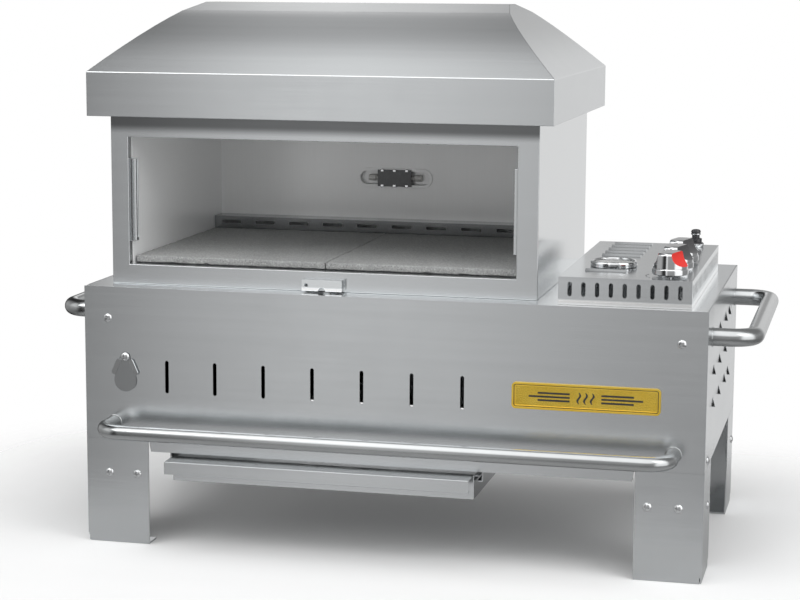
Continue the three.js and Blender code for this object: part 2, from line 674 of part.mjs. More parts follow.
function knobSolid(y) {
  const { x, radius, height, grip, scoop, scoopZ, lift } = knob;
  const floor = box.z1 + lift;
  const profile = [
    [0, 0], [radius, 0], [radius, 9], [radius - 1.5, 12], [radius - 2.5, height - 5],
    [radius - 5, height - 1.5], [radius - 10, height], [0, height],
  ];
  const body = turned(profile, [x, y, floor], 28);
  const scoops = [-1, 1].map((side) => {
    const centre = [x + side * (grip + scoop), y - radius - 2, floor + scoopZ + scoop];
    return rod("y", centre, scoop, 2 * radius + 4, 28);
  });
  const socket = rod("z", [x, y, floor - 1], valve.stemRadius + gap, valve.stemTop - floor + 1 + gap, 16);
  return cut(body, [...scoops, socket]);
}

function addKnobs() {
  for (const [i, place] of ["front", "middle", "rear"].entries()) {
    add("knob_" + place, polished, knobSolid(knob.ys[i]));
  }
}

function addGauge() {
  const { x, y, radius, height } = gauge;
  const at = [x, y, box.z1 + gap];
  const cup = [
    [0, 0], [radius, 0], [radius, height - 1], [radius - 1, height], [radius - 4, height],
    [radius - 4, 2], [0, 2],
  ];
  const spigot = rod("z", [x, y, box.z1 - 26], 7.5, 27.5, 16);
  add("gauge_case", polished, join([turned(cup, at, 32), spigot]));
  add("gauge_dial", whiteLook, rod("z", [x, y, at[2] + 2 + gap], radius - 5, 1, 32));
  const level = at[2] + 2 + gap + 1 + gap;
  const boss = rod("z", [x, y, level], 4, 1.6, 16);
  const outline = polygon([[-1.6, -9], [1.6, -9], [0.5, radius - 9], [-0.5, radius - 9]]);
  const pointer = standing(outline, 0, 1).rotate([0, 0, gauge.rest]).translate(x, y, level);
  add("gauge_needle", darkLook, join([boss, pointer]));
  add("gauge_glass", clear, rod("z", [x, y, level + 1.6 + gap], radius - 4.5, 1.8, 32));
}

function addIgniter() {
  const { x, y } = igniter;
  const at = [x, y, box.z1 + gap];
  const collar = [
    [0, -28], [9.8, -28], [9.8, 0], [14.5, 0], [14.5, 5], [13, 7], [11, 8], [11, 15], [0, 15],
  ];
  const body = turned(collar, at, 24);
  const bore = rod("z", [x, y, at[2] + 4], 7.3, 12, 20);
  add("igniter_body", darkLook, cut(body, [bore]));
  const profile = [
    [0, 10.5], [6.9, 10.5], [6.9, 21.5], [9, 21.5], [9, 27], [7.5, 30], [4, 31.5], [0, 31.5],
  ];
  add("igniter_button", polished, turned(profile, at, 24));
  const tip = rod("x", [90, 160, burner.z + 6], 1.5, 80, 8);
  const sleeve = rod("x", [120, 160, burner.z + 6], 5, 60, 12);
  add("igniter_electrode", whiteLook, join([tip, sleeve]));
}

// Gas train

function addManifold() {
  const { z, radius, y0, end, nut } = manifold;
  const pipe = rod("y", [knob.x, y0, z], radius, end - y0 - 2, 20);
  const hex = rod("y", [knob.x, base.depth + 3, z], nut, end - base.depth - 3, 6);
  const bore = rod("y", [knob.x, end - 10, z], 6.5, 11, 16);
  add("gas_manifold", brass, cut(join([pipe, hex]), [bore]));
}

function addValves() {
  for (const [i, place] of ["front", "middle", "rear"].entries()) {
    const y = knob.ys[i];
    const { z0, z1, half, stemRadius, stemTop } = valve;
    const body = block(knob.x - half, knob.x + half, y - half, y + half, z0, z1);
    const spud = rod("x", [knob.x - half - 12, y, burner.z], 4, 13, 12);
    const neck = rod("z", [knob.x, y, z1 - 1], 7, 9, 16);
    const bore = rod("z", [knob.x, y, z1 - 10], stemRadius + gap, 30, 16);
    add("gas_valve_" + place, brass, cut(join([body, spud, neck]), [bore]));
    const start = z1 - 4;
    add("valve_stem_" + place, steel, rod("z", [knob.x, y, start], stemRadius, stemTop - start, 16));
    addBurner(place, y, burner.ys[i]);
  }
}

function addBurner(place, valveY, burnerY) {
  const { z, radius, end, mouth: start } = burner;
  const corners = [[start, valveY, z], [380, valveY, z], [270, burnerY, z], [end, burnerY, z]];
  const pipe = tube(corners, radius, 30, 8, 2);
  const throat = rod("x", [start - 14, valveY, z], 8, 16, 16);
  add("burner_" + place, steel, cut(pipe, [throat]));
}

addFrontPanel();
addSidePanels();
addBackPanel();
addDeck();
addFloor();
addLegs();
addRailAndHandles();
addNamePlate();
addPortCover();
addPanelScrews();
addDripTray();
addRunners();
addFrontFrame();
addChamberWrap();
addLiner();
addInsulation();
addRackAndStones();
addRiser();
addDoorFittings();
addLamp();
addHood();
addChamberTop();
addControlBox();
addKnobs();
addGauge();
addIgniter();
addManifold();
addValves();

export default assembly;
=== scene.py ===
import bpy
import json
import math
from mathutils import Matrix, Vector, noise


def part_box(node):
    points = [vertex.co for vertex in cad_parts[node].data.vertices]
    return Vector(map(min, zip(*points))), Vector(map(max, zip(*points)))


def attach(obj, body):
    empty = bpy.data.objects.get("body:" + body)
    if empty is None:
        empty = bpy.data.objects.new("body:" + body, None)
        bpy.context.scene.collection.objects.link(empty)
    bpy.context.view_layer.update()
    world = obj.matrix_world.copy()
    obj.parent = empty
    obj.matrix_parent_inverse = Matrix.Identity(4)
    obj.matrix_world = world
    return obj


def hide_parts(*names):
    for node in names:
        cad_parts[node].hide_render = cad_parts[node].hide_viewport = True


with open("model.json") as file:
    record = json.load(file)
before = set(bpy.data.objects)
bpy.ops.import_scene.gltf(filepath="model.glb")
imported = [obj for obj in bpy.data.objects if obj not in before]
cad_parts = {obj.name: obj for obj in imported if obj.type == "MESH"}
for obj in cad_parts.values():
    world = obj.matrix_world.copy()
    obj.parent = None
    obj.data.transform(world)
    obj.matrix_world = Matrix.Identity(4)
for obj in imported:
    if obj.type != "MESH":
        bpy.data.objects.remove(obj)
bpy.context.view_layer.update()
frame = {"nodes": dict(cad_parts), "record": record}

mm = 0.001
bodyOf = {node: body for body, nodes in frame["record"]["behaviour"]["bodies"].items() for node in nodes}


# Shader maths: one socket that can be used in plain arithmetic
class Val:
    def __init__(self, tree, socket):
        self.tree = tree
        self.socket = socket

    def math(self, operation, *others):
        return self.tree.add("ShaderNodeMath", {"operation": operation}, dict(enumerate((self, *others))))

    def __add__(self, other):
        return self.math("ADD", other)

    def __sub__(self, other):
        return self.math("SUBTRACT", other)

    def __mul__(self, other):
        return self.math("MULTIPLY", other)

    def __rsub__(self, other):
        return self.tree.add("ShaderNodeMath", {"operation": "SUBTRACT"}, {0: other, 1: self})

    __radd__ = __add__
    __rmul__ = __mul__

    def band(self, low, high):  # 0 below low, 1 above high, smooth between
        settings = {"interpolation_type": "SMOOTHSTEP"}
        inputs = {"Value": self, "From Min": low, "From Max": high}
        return self.tree.add("ShaderNodeMapRange", settings, inputs)

    def spread(self, low, high):  # 0..1 stretched to low..high
        return self * (high - low) + low


# A node tree with one method that adds every other kind of node
class Tree:
    def __init__(self, nodeTree):
        self.nodeTree = nodeTree

    def plug(self, socket, value):
        if isinstance(value, Val):
            self.nodeTree.links.new(value.socket, socket)
        elif socket.type == "RGBA":
            socket.default_value = (*value, 1)
        else:
            socket.default_value = value

    def add(self, kind, settings, inputs, out=0):
        node = self.nodeTree.nodes.new(kind)
        for name, value in settings.items():
            setattr(node, name, value)
        for name, value in inputs.items():
            self.plug(node.inputs[name], value)
        return Val(self, node.outputs[out])

    def mix(self, share, first, second):
        return self.add("ShaderNodeMix", {"data_type": "RGBA"}, {0: share, 6: first, 7: second}, 2)

    def colour(self, shade, base):  # a tone times one fixed colour
        return self.add("ShaderNodeCombineColor", {}, {k: shade * base[k] for k in range(3)})


socketNames = dict(
    colour="Base Color", rough="Roughness", metal="Metallic", normal="Normal", alpha="Alpha",
    clear="Transmission Weight", ior="IOR", coat="Coat Weight", coatRough="Coat Roughness",
)


# One material and its main shader
class Finish(Tree):
    def __init__(self, name, **values):
        self.material = bpy.data.materials.new(name)
        self.material.use_nodes = True
        super().__init__(self.material.node_tree)
        self.shader = self.nodeTree.nodes["Principled BSDF"]
        self.place = self.add("ShaderNodeTexCoord", {}, {}, "Object")
        self.set(**values)

    def set(self, **values):
        for name, value in values.items():
            self.plug(self.shader.inputs[socketNames[name]], value)

    def noise(self, scale, detail=2.0, rough=0.5, stretch=(1, 1, 1)):
        moved = self.add("ShaderNodeMapping", {}, {"Vector": self.place, "Scale": stretch})
        inputs = {"Vector": moved, "Scale": scale, "Detail": detail, "Roughness": rough}
        return self.add("ShaderNodeTexNoise", {}, inputs, "Fac")

    def along(self, axis):  # the object's own X, Y or Z
        split = self.nodeTree.nodes.new("ShaderNodeSeparateXYZ")
        self.plug(split.inputs[0], self.place)
        return Val(self, split.outputs["XYZ".index(axis)])

    def cells(self, scale):
        return self.add("ShaderNodeTexVoronoi", {}, {"Vector": self.place, "Scale": scale}, "Distance")

    def bump(self, height, depth, strength=1.0):  # depth in metres
        inputs = {"Height": height, "Distance": depth, "Strength": strength}
        self.set(normal=self.add("ShaderNodeBump", {}, inputs))


steelLook = dict(
    colour=(0.60, 0.617, 0.627), rough=0.22, grain=900.0, along=5.0, grainDepth=0.00003, grainShare=0.35,
    streak=0.05, smudge=0.035, polished=(0.72, 0.735, 0.742), polishedRough=0.15, liner=(0.92, 0.925, 0.925),
)


# brushed stainless sheet: fine streaks along one axis, wider bands, faint smudges from handling
def brushedSteel(name, axis, tone=1.0, rough=steelLook["rough"], shade=None):
    finish = Finish(name, metal=1.0)
    look = steelLook
    grain = finish.noise(1.0, 3.0, 0.65, [look["along"] if k == axis else look["grain"] for k in "xyz"])
    wide = finish.noise(1.0, 2.0, 0.5, [1.5 if k == axis else 70.0 for k in "xyz"])
    smudge = finish.noise(6.0, 4.0, 0.6)
    level = grain.spread(1 - look["streak"], 1 + look["streak"]) * wide.spread(0.96, 1.04)
    level = level * smudge.spread(1 - look["smudge"], 1 + look["smudge"]) * tone
    # an optional mask of painted light and shade scales the tone
    if shade:
        level = level * shade(finish)
    finish.set(colour=finish.colour(level, look["colour"]))
    finish.set(rough=grain.spread(rough - 0.05, rough + 0.06) + smudge.spread(-0.05, 0.05))
    finish.bump(grain, look["grainDepth"], look["grainShare"])
    return finish.material


# painted shadow: the strip of the frame close under the hood is darkened where the hood's overhang shades it
def hoodOverhangPaintedShadow(finish):
    return 1 - finish.along("Z").band(0.708, 0.726) * 0.72


# painted reflection: the rolled foot of the control box is painted brighter, standing in for the bright
# reflection along it
def boxFootPaintedReflection(finish):
    return 1.5 - finish.along("Z").band(0.4575, 0.4600) * 0.5


# painted shade: the roof is darkened towards its crest, standing in for the darker reflection there
def roofCrestPaintedShade(finish):
    return 1 - finish.along("Z").band(0.83, 0.90) * 0.33


# smoother sheet of the chamber walls: soft upright grain under polishing haze
def polishedSteel(name, tone, rough, metal=1.0):
    finish = Finish(name, metal=metal)
    grain = finish.noise(1.0, 2.0, 0.6, (700.0, 700.0, 5.0))
    haze = finish.noise(5.0, 4.0, 0.6)
    finish.set(colour=finish.colour(grain.spread(0.97, 1.03) * haze.spread(0.97, 1.02), tone))
    finish.set(rough=grain.spread(rough - 0.03, rough + 0.03) + haze.spread(-0.03, 0.06))
    finish.bump(grain, 0.00001, 0.3)
    return finish.material


# drawn tube: lengthwise draw lines are lost in a fine satin, with a few handling marks
def satinTube(name):
    finish = Finish(name, metal=1.0)
    grain = finish.noise(900.0, 3.0, 0.6)
    swirl = finish.noise(18.0, 3.0, 0.5)
    finish.set(colour=finish.mix(swirl, (0.36, 0.372, 0.375), (0.45, 0.46, 0.463)))
    finish.set(rough=grain.spread(0.17, 0.24) + swirl.spread(-0.03, 0.04))
    finish.bump(grain, 0.00001, 0.3)
    return finish.material


def chromePlate(name, low=(0.50, 0.508, 0.515), high=(0.62, 0.628, 0.635), rough=0.05):
    finish = Finish(name, metal=1.0)
    haze = finish.noise(60.0, 3.0, 0.6)
    finish.set(colour=finish.mix(haze, low, high))
    finish.set(rough=haze.spread(rough, rough + 0.07))
    finish.bump(haze, 0.00002, 0.1)
    return finish.material


# cast brass: a stippled ground with duller spots in its hollows
def castBrass(name, stippled):
    finish = Finish(name, metal=1.0)
    stipple = finish.cells(620.0)
    tone = finish.noise(40.0, 3.0, 0.6)
    hollow = 1 - stipple.band(0.05, 0.45)
    colour = finish.mix(tone, (0.92, 0.60, 0.06), (1.0, 0.74, 0.14))
    if stippled:
        colour = finish.mix(hollow * 0.55, colour, (0.36, 0.23, 0.03))
        finish.bump(stipple, 0.0005, 0.9)
    else:
        finish.bump(finish.noise(700.0, 2.0, 0.6), 0.00004, 0.4)
    finish.set(colour=colour, rough=tone.spread(0.24, 0.36))
    return finish.material


# fired cordierite: pale grey and sandy, with dark specks and a slow cloud of tone
def firedStone(name):
    finish = Finish(name, metal=0.0)
    cloud = finish.noise(9.0, 5.0, 0.6)
    sand = finish.noise(420.0, 3.0, 0.7)
    specks = finish.cells(260.0)
    dark = 1 - specks.band(0.1, 0.28)
    body = finish.mix(cloud, (0.25, 0.255, 0.255), (0.38, 0.385, 0.38))
    grainy = finish.mix(sand.band(0.45, 0.75), body, (0.58, 0.585, 0.58))
    finish.set(colour=finish.mix(dark * 0.75, grainy, (0.10, 0.10, 0.098)))
    finish.set(rough=sand.spread(0.85, 1.0))
    finish.bump(sand + specks * 0.6, 0.0012, 0.6)
    return finish.material


def mineralWool(name):
    finish = Finish(name, metal=0.0)
    strands = finish.noise(1.0, 5.0, 0.7, (40.0, 260.0, 260.0))
    finish.set(colour=finish.mix(strands, (0.72, 0.69, 0.60), (0.90, 0.88, 0.82)))
    finish.set(rough=strands.spread(0.9, 1.0))
    finish.bump(strands, 0.003, 0.7)
    return finish.material


# moulded, glazed or painted skin: a slow cloud of tone and a faint orange peel
def mouldedSkin(name, low, high, rough, coat=0.0):
    finish = Finish(name, metal=0.0, coat=coat, coatRough=0.08)
    cloud = finish.noise(110.0, 3.0, 0.6)
    finish.set(colour=finish.mix(cloud, low, high), rough=cloud.spread(rough - 0.06, rough + 0.08))
    finish.bump(cloud, 0.0001, 0.25)
    return finish.material


def clearGlass(name):
    finish = Finish(name, metal=0.0, clear=1.0, ior=1.45)
    dust = finish.noise(80.0, 3.0, 0.6)
    finish.set(colour=finish.mix(dust, (0.95, 0.97, 0.97), (1.0, 1.0, 1.0)), rough=dust.spread(0.01, 0.05))
    return finish.material


# burner and valve metal that has seen heat
def heatedMetal(name, cool, warm):
    finish = Finish(name, metal=1.0)
    cloud = finish.noise(14.0, 4.0, 0.6)
    fine = finish.noise(500.0, 3.0, 0.6)
    finish.set(colour=finish.mix(cloud.band(0.4, 0.65), cool, warm), rough=fine.spread(0.35, 0.55))
    finish.bump(fine, 0.00005, 0.4)
    return finish.material


print("materials")
steelX = brushedSteel("steelGrainAlongX", "x")
steelY = brushedSteel("steelGrainAlongY", "y")
steelZ = brushedSteel("steelGrainUpright", "z")
frameSteel = brushedSteel("frameSteel", "x", shade=hoodOverhangPaintedShadow)
roofSteel = brushedSteel("roofSteel", "x", rough=0.2, shade=roofCrestPaintedShade)
boxSteel = brushedSteel("boxSteel", "x", 1.12, 0.17, boxFootPaintedReflection)
# painted shade: the riser deep in the chamber is a darker copy of the same brushed steel
riserSteel = brushedSteel("riserSteel", "x", 0.55, 0.2)
# painted reflection: the deck is a brighter copy of the same brushed steel, standing in for the white it
# reflects
deckSteel = brushedSteel("deckSteel", "x", 1.42, 0.2)
polishedWall = polishedSteel("polishedWall", steelLook["polished"], steelLook["polishedRough"])
linerSteel = polishedSteel("linerSteel", steelLook["liner"], 0.3, 0.3)
coverSteel = brushedSteel("coverSteel", "z", 0.62, 0.25)
satinSteel = satinTube("satinTube")
chrome = chromePlate("chromePlate")
screwSteel = chromePlate("screwSteel", (0.50, 0.508, 0.515), (0.64, 0.648, 0.655), 0.12)
brassGround = castBrass("brassGround", True)
brassRim = castBrass("brassRim", False)
valveBrass = heatedMetal("valveBrass", (0.66, 0.49, 0.20), (0.55, 0.40, 0.18))
burnerSteel = heatedMetal("burnerSteel", (0.46, 0.45, 0.44), (0.42, 0.34, 0.27))
ovenStone = firedStone("firedStone")
wool = mineralWool("mineralWool")
ceramic = mouldedSkin("whiteCeramic", (0.80, 0.79, 0.76), (0.90, 0.89, 0.87), 0.35)
dialWhite = mouldedSkin("dialEnamel", (0.82, 0.82, 0.80), (0.90, 0.90, 0.88), 0.3)
blackPlastic = mouldedSkin("blackPlastic", (0.012, 0.012, 0.014), (0.03, 0.03, 0.033), 0.32)
blackInk = mouldedSkin("blackInk", (0.015, 0.015, 0.016), (0.035, 0.035, 0.036), 0.55)
smokedGlass = mouldedSkin("smokedGlass", (0.055, 0.06, 0.064), (0.10, 0.105, 0.11), 0.14)
redLacquer = mouldedSkin("redLacquer", (0.62, 0.010, 0.004), (0.70, 0.018, 0.007), 0.55)
darkGap = mouldedSkin("shadedSeam", (0.02, 0.021, 0.022), (0.05, 0.051, 0.052), 0.8)
gaugeLens = clearGlass("gaugeLens")


# Mesh work

def deselectAll():
    bpy.ops.object.select_all(action="DESELECT")


def alone(piece):
    if bpy.context.mode != "OBJECT":
        bpy.ops.object.mode_set(mode="OBJECT")
    deselectAll()
    piece.select_set(True)
    bpy.context.view_layer.objects.active = piece


def objectMode():
    bpy.ops.object.mode_set(mode="OBJECT")


# opens edit mode with just the faces, edges or vertices selected that pass the test
def choose(piece, wanted, kind="FACE"):
    alone(piece)
    bpy.ops.object.mode_set(mode="EDIT")
    bpy.ops.mesh.select_mode(type=kind)
    bpy.ops.mesh.select_all(action="DESELECT")
    objectMode()
    mesh = piece.data
    for part in {"FACE": mesh.polygons, "EDGE": mesh.edges, "VERT": mesh.vertices}[kind]:
        part.select = wanted(part)
    bpy.ops.object.mode_set(mode="EDIT")


def wholeMesh(piece, kind="FACE"):
    choose(piece, lambda part: True, kind)


def settle(piece):
    alone(piece)
    bpy.ops.object.transform_apply(location=True, rotation=True, scale=True)


def edgeLine(piece, edge):  # its two ends
    return [piece.data.vertices[k].co for k in edge.vertices]


def applyModifiers(piece):
    alone(piece)
    for modifier in list(piece.modifiers):
        bpy.ops.object.modifier_apply(modifier=modifier.name)


def bevelEdges(piece, width, segments=2, limit=30.0):
    modifier = piece.modifiers.new("edge", "BEVEL")
    modifier.width = width
    modifier.segments = segments
    modifier.limit_method = "ANGLE"
    modifier.angle_limit = math.radians(limit)
    applyModifiers(piece)


# flat faces stay flat to the eye and only the folds between them shade round
def smooth(piece, degrees=35.0, weighted=True):
    alone(piece)
    bpy.ops.object.shade_smooth_by_angle(angle=math.radians(degrees))
    if weighted:
        modifier = piece.modifiers.new("faces", "WEIGHTED_NORMAL")
        modifier.keep_sharp = True
        modifier.weight = 100
        applyModifiers(piece)


def paint(piece, *materials):
    piece.data.materials.clear()
    for material in materials:
        piece.data.materials.append(material)


def paintFaces(piece, slotIndex, wanted):
    for face in piece.data.polygons:
        if wanted(face):
            face.material_index = slotIndex


# a finished copy with its own mesh, moved and turned about the origin's axes
def duplicate(piece, name, shift=(0, 0, 0), turn=(0, 0, 0)):
    alone(piece)
    bpy.ops.object.duplicate()
    made = bpy.context.object
    made.name = name
    made.rotation_euler = turn
    made.location = shift
    return made


def joined(pieces, name):
    alone(pieces[0])
    for piece in pieces[1:]:
        piece.select_set(True)
    bpy.ops.object.join()
    made = bpy.context.object
    made.name = name
    return made


def cutWith(piece, cutter):
    modifier = piece.modifiers.new("cut", "BOOLEAN")
    modifier.operation = "DIFFERENCE"
    modifier.object = cutter
    modifier.solver = "EXACT"
    applyModifiers(piece)
    bpy.data.objects.remove(cutter)


def cube(x0, x1, y0, y1, z0, z1):  # from one corner to the other, in metres
    deselectAll()
    bpy.ops.mesh.primitive_cube_add(size=1, location=((x0 + x1) / 2, (y0 + y1) / 2, (z0 + z1) / 2))
    made = bpy.context.object
    made.scale = (x1 - x0, y1 - y0, z1 - z0)
    settle(made)
    return made


facing = dict(x=(0, math.pi / 2, 0), y=(-math.pi / 2, 0, 0), z=(0, 0, 0))


def cylinder(place, radius, depth, axis="z", sides=48):  # place is its middle
    deselectAll()
    bpy.ops.mesh.primitive_cylinder_add(
        vertices=sides, radius=radius, depth=depth, location=place, rotation=facing[axis])
    made = bpy.context.object
    settle(made)
    return made


# a lathe: one point is drawn out into the profile, which is then spun about Z and set in its place
def turned(profile, place, axis="z", steps=64):  # profile of (radius, height) in metres
    deselectAll()
    bpy.ops.mesh.primitive_plane_add(size=mm, location=(0, 0, 0))
    made = bpy.context.object
    bpy.ops.object.mode_set(mode="EDIT")
    bpy.ops.mesh.select_mode(type="VERT")
    bpy.ops.mesh.select_all(action="SELECT")
    bpy.ops.mesh.merge(type="CENTER")
    bpy.ops.mesh.select_all(action="SELECT")
    bpy.ops.transform.translate(value=(profile[0][0], 0, profile[0][1]))
    for (radius0, height0), (radius1, height1) in zip(profile, profile[1:]):
        step = (radius1 - radius0, 0, height1 - height0)
        bpy.ops.mesh.extrude_vertices_move(TRANSFORM_OT_translate={"value": step})
    bpy.ops.mesh.select_all(action="SELECT")
    bpy.ops.mesh.spin(steps=steps, angle=math.tau, center=(0, 0, 0), axis=(0, 0, 1))
    bpy.ops.mesh.select_all(action="SELECT")
    bpy.ops.mesh.remove_doubles(threshold=0.000002)
    bpy.ops.mesh.normals_make_consistent(inside=False)
    objectMode()
    made.rotation_euler = facing[axis]
    made.location = place
    settle(made)
    return made


# a round bar: a circle is drawn along straight runs and spun through its bends
def bentTube(start, axis, radius, path, sides=40, bendSteps=14):
    deselectAll()
    bpy.ops.mesh.primitive_circle_add(vertices=sides, radius=radius, location=start, rotation=facing[axis])
    made = bpy.context.object
    settle(made)
    bpy.ops.object.mode_set(mode="EDIT")
    bpy.ops.mesh.select_mode(type="EDGE")
    bpy.ops.mesh.select_all(action="SELECT")
    for step in path:
        if "run" in step:
            bpy.ops.mesh.extrude_region_move(TRANSFORM_OT_translate={"value": step["run"]})
        else:
            bpy.ops.mesh.spin(
                steps=bendSteps, angle=-math.radians(step["angle"]), center=step["about"], axis=(0, 0, 1))
    bpy.ops.mesh.select_all(action="SELECT")
    bpy.ops.mesh.remove_doubles(threshold=0.000002)
    bpy.ops.mesh.normals_make_consistent(inside=False)
    objectMode()
    return made


# a CAD node's copy with its triangles merged into clean faces, ready for rounded folds
def copyOf(node, name, dissolved=True):
    piece = bpy.data.objects.new(name, frame["nodes"][node].data.copy())
    bpy.context.scene.collection.objects.link(piece)
    wholeMesh(piece, "VERT")
    bpy.ops.mesh.remove_doubles(threshold=0.00001)
    if dissolved:
        bpy.ops.mesh.dissolve_limited(angle_limit=math.radians(0.5))
    objectMode()
    return piece


# names a finished piece, gives it its finishes, and ties it to its body
def ready(piece, name, body, *materials):
    settle(piece)
    piece.name = name
    if materials:
        paint(piece, *materials)
    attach(piece, body)
    return piece


# Sheet metal: the CAD's own folded shapes, with the rounded edges that a press brake leaves

sheetLook = dict(fold=1.3 * mm, fineFold=0.25 * mm, steps=3)
sheetFinish = dict(
    base_front_panel=steelX, base_left_panel=steelY, base_right_panel=steelY, base_back_panel=steelX,
    base_deck=deckSteel, base_floor=steelX,
    leg_front_left=steelX, leg_front_right=steelX, leg_back_left=steelX, leg_back_right=steelX,
    tray_runner_left=steelY, tray_runner_right=steelY, chamber_front_frame=frameSteel,
    chamber_wrap=polishedWall, oven_liner=linerSteel, stone_rack=steelY, rear_riser=riserSteel,
    door_guide_left=steelZ, door_guide_right=steelZ, door_catch=boxSteel, hood=roofSteel, hood_bracket=steelX,
    control_box=boxSteel, drip_tray=steelX, lamp_housing=linerSteel, gas_manifold=valveBrass,
    gas_valve_front=valveBrass, gas_valve_middle=valveBrass, gas_valve_rear=valveBrass,
)


def foldedCopy(node, material, fold=sheetLook["fold"]):
    slotted = node == "rear_riser"  # its long slotted face is kept as triangles
    piece = copyOf(node, node + ".folded", not slotted)
    if slotted:
        fold = sheetLook["fineFold"]
    bevelEdges(piece, fold, sheetLook["steps"])
    smooth(piece, 40.0)
    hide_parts(node)
    return ready(piece, piece.name, bodyOf[node], material)


print("sheet metal")
for node, material in sheetFinish.items():
    foldedCopy(node, material)


# Rail and handles

tubeLook = dict(railBend=38 * mm, handleBend=38 * mm, bead=1.1 * mm, ripple=0.3 * mm, ripples=900.0)


# the ring of weld where a tube meets its panel, with a slightly uneven toe
def weldBead(name, place, radius, axis):
    deselectAll()
    bpy.ops.mesh.primitive_torus_add(
        major_segments=72, minor_segments=10, major_radius=radius + 0.4 * mm, minor_radius=tubeLook["bead"],
        location=place, rotation=facing[axis])
    bead = bpy.context.object
    settle(bead)
    for vertex in bead.data.vertices:
        vertex.co += vertex.normal * noise.noise(vertex.co * tubeLook["ripples"]) * tubeLook["ripple"]
    smooth(bead, 60.0, weighted=False)
    return ready(bead, name, "oven", satinSteel)


def addRail():
    low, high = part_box("front_rail")
    radius = (high.z - low.z) / 2
    level = (high.z + low.z) / 2
    x0, x1, y, wall = low.x + radius, high.x - radius, low.y + radius, high.y
    bend = tubeLook["railBend"]
    run = y + bend - wall
    rail = bentTube((x0, wall, level), "y", radius, (
        dict(run=(0, run, 0)), dict(about=(x0 + bend, y + bend, level), angle=90),
        dict(run=(x1 - x0 - 2 * bend, 0, 0)), dict(about=(x1 - bend, y + bend, level), angle=90),
        dict(run=(0, -run, 0)),
    ))
    smooth(rail, 50.0, weighted=False)
    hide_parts("front_rail")
    ready(rail, "front_rail.bent", "oven", satinSteel)
    for side, x in (("left", x0), ("right", x1)):
        weldBead("rail_weld_" + side, (x, wall, level), radius, "y")


def addHandles():
    low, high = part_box("handle_right")
    radius = (high.z - low.z) / 2
    level = (high.z + low.z) / 2
    wall, out, y0, y1 = low.x, high.x - radius, low.y + radius, high.y - radius
    bend = tubeLook["handleBend"]
    reach = out - bend - wall
    right = bentTube((wall, y0, level), "x", radius, (
        dict(run=(reach, 0, 0)), dict(about=(out - bend, y0 + bend, level), angle=90),
        dict(run=(0, y1 - y0 - 2 * bend, 0)), dict(about=(out - bend, y1 - bend, level), angle=90),
        dict(run=(-reach, 0, 0)),
    ))
    smooth(right, 50.0, weighted=False)
    left = duplicate(right, "handle_left.bent", shift=(0, y0 + y1, 0), turn=(0, 0, math.pi))
    for piece, side, edge in ((right, "right", wall), (left, "left", -wall)):
        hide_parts("handle_" + side)
        ready(piece, "handle_" + side + ".bent", "oven", satinSteel)
        for place, y in (("front", y0), ("back", y1)):
            weldBead("handle_weld_" + side + "_" + place, (edge, y, level), radius, "x")


print("rail and handles")
addRail()
addHandles()


# Screws: truss heads with a cross recess

screwLook = dict(
    radius=7.4 * mm, rise=3.4 * mm, slot=8.4 * mm, slotWidth=1.5 * mm, slotDepth=1.9 * mm,
    legXs=(441.6 * mm, 492.5 * mm), legZ=124 * mm, sideZ=114 * mm, sideIn=79 * mm, backIn=28 * mm,
    cornerZ=196 * mm, cornerIn=50 * mm,
)


def makeScrew():  # head up +Z, underside at zero
    r, h = screwLook["radius"], screwLook["rise"]
    profile = [(0, 0), (r, 0), (r, 0.12 * h), (0.94 * r, 0.34 * h), (0.8 * r, 0.58 * h), (0.6 * r, 0.79 * h),
               (0.35 * r, 0.94 * h), (0, h)]
    head = turned(profile, (0, 0, 0), steps=48)
    half, width = screwLook["slot"] / 2, screwLook["slotWidth"] / 2
    floor = h - screwLook["slotDepth"]
    for turn in (0.35, 0.35 + math.pi / 2):
        cutter = cube(-half, half, -width, width, floor, h + mm)
        cutter.rotation_euler = (0, 0, turn)
        settle(cutter)
        cutWith(head, cutter)
    bevelEdges(head, 0.18 * mm, 1, 50.0)
    smooth(head, 32.0)
    paint(head, screwSteel)
    return head


def addScrews():
    pattern = makeScrew()
    out = []
    legLow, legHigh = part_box("leg_front_right")
    backLow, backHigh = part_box("leg_back_right")
    for side, sign in (("left", -1), ("right", 1)):
        low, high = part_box("panel_screw_" + side)
        place = ((low.x + high.x) / 2, high.y, (low.z + high.z) / 2)
        out.append(("panel_screw_" + side + ".head", place, "front"))
        for k, x in enumerate(screwLook["legXs"]):
            out.append((f"leg_screw_front_{side}_{k}", (sign * x, legLow.y, screwLook["legZ"]), "front"))
            out.append((f"leg_screw_back_{side}_{k}", (sign * x, backHigh.y, screwLook["legZ"]), "back"))
        for name, y, z in (
            ("front", legLow.y + screwLook["sideIn"], screwLook["sideZ"]),
            ("corner", legLow.y + screwLook["cornerIn"], screwLook["cornerZ"]),
            ("back", backHigh.y - screwLook["backIn"], screwLook["legZ"]),
        ):
            out.append((f"side_screw_{side}_{name}", (sign * legHigh.x, y, z), side))
    quarter = math.pi / 2
    turns = dict(front=(quarter, 0), back=(-quarter, 0), left=(0, -quarter), right=(0, quarter))
    for k, (name, place, wall) in enumerate(out, 1):
        head = duplicate(pattern, name, turn=(0, 0, 0.7 * k))
        settle(head)
        head.rotation_euler = (*turns[wall], 0)
        head.location = place
        ready(head, name, "oven")
        if name.startswith("panel_screw"):
            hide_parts(name.removesuffix(".head"))
    bpy.data.objects.remove(pattern)


print("screws")
addScrews()


# Name plate: a plain brass plate with a double border and a neutral heat-wave motif

plateLook = dict(
    corner=7 * mm, rim=3.2 * mm, groove=1.5 * mm, line=1.3 * mm, deep=1.1 * mm, field=0.7 * mm,
    waves=3, wavePitch=11 * mm, waveHeight=19 * mm, waveWidth=3.6 * mm, swing=2.3 * mm,
    barLength=68 * mm, barHeight=3.0 * mm, barGap=26 * mm, bars=(-6 * mm, 0.0, 6 * mm),
)


def frontFace(face):
    return face.normal.y < -0.99


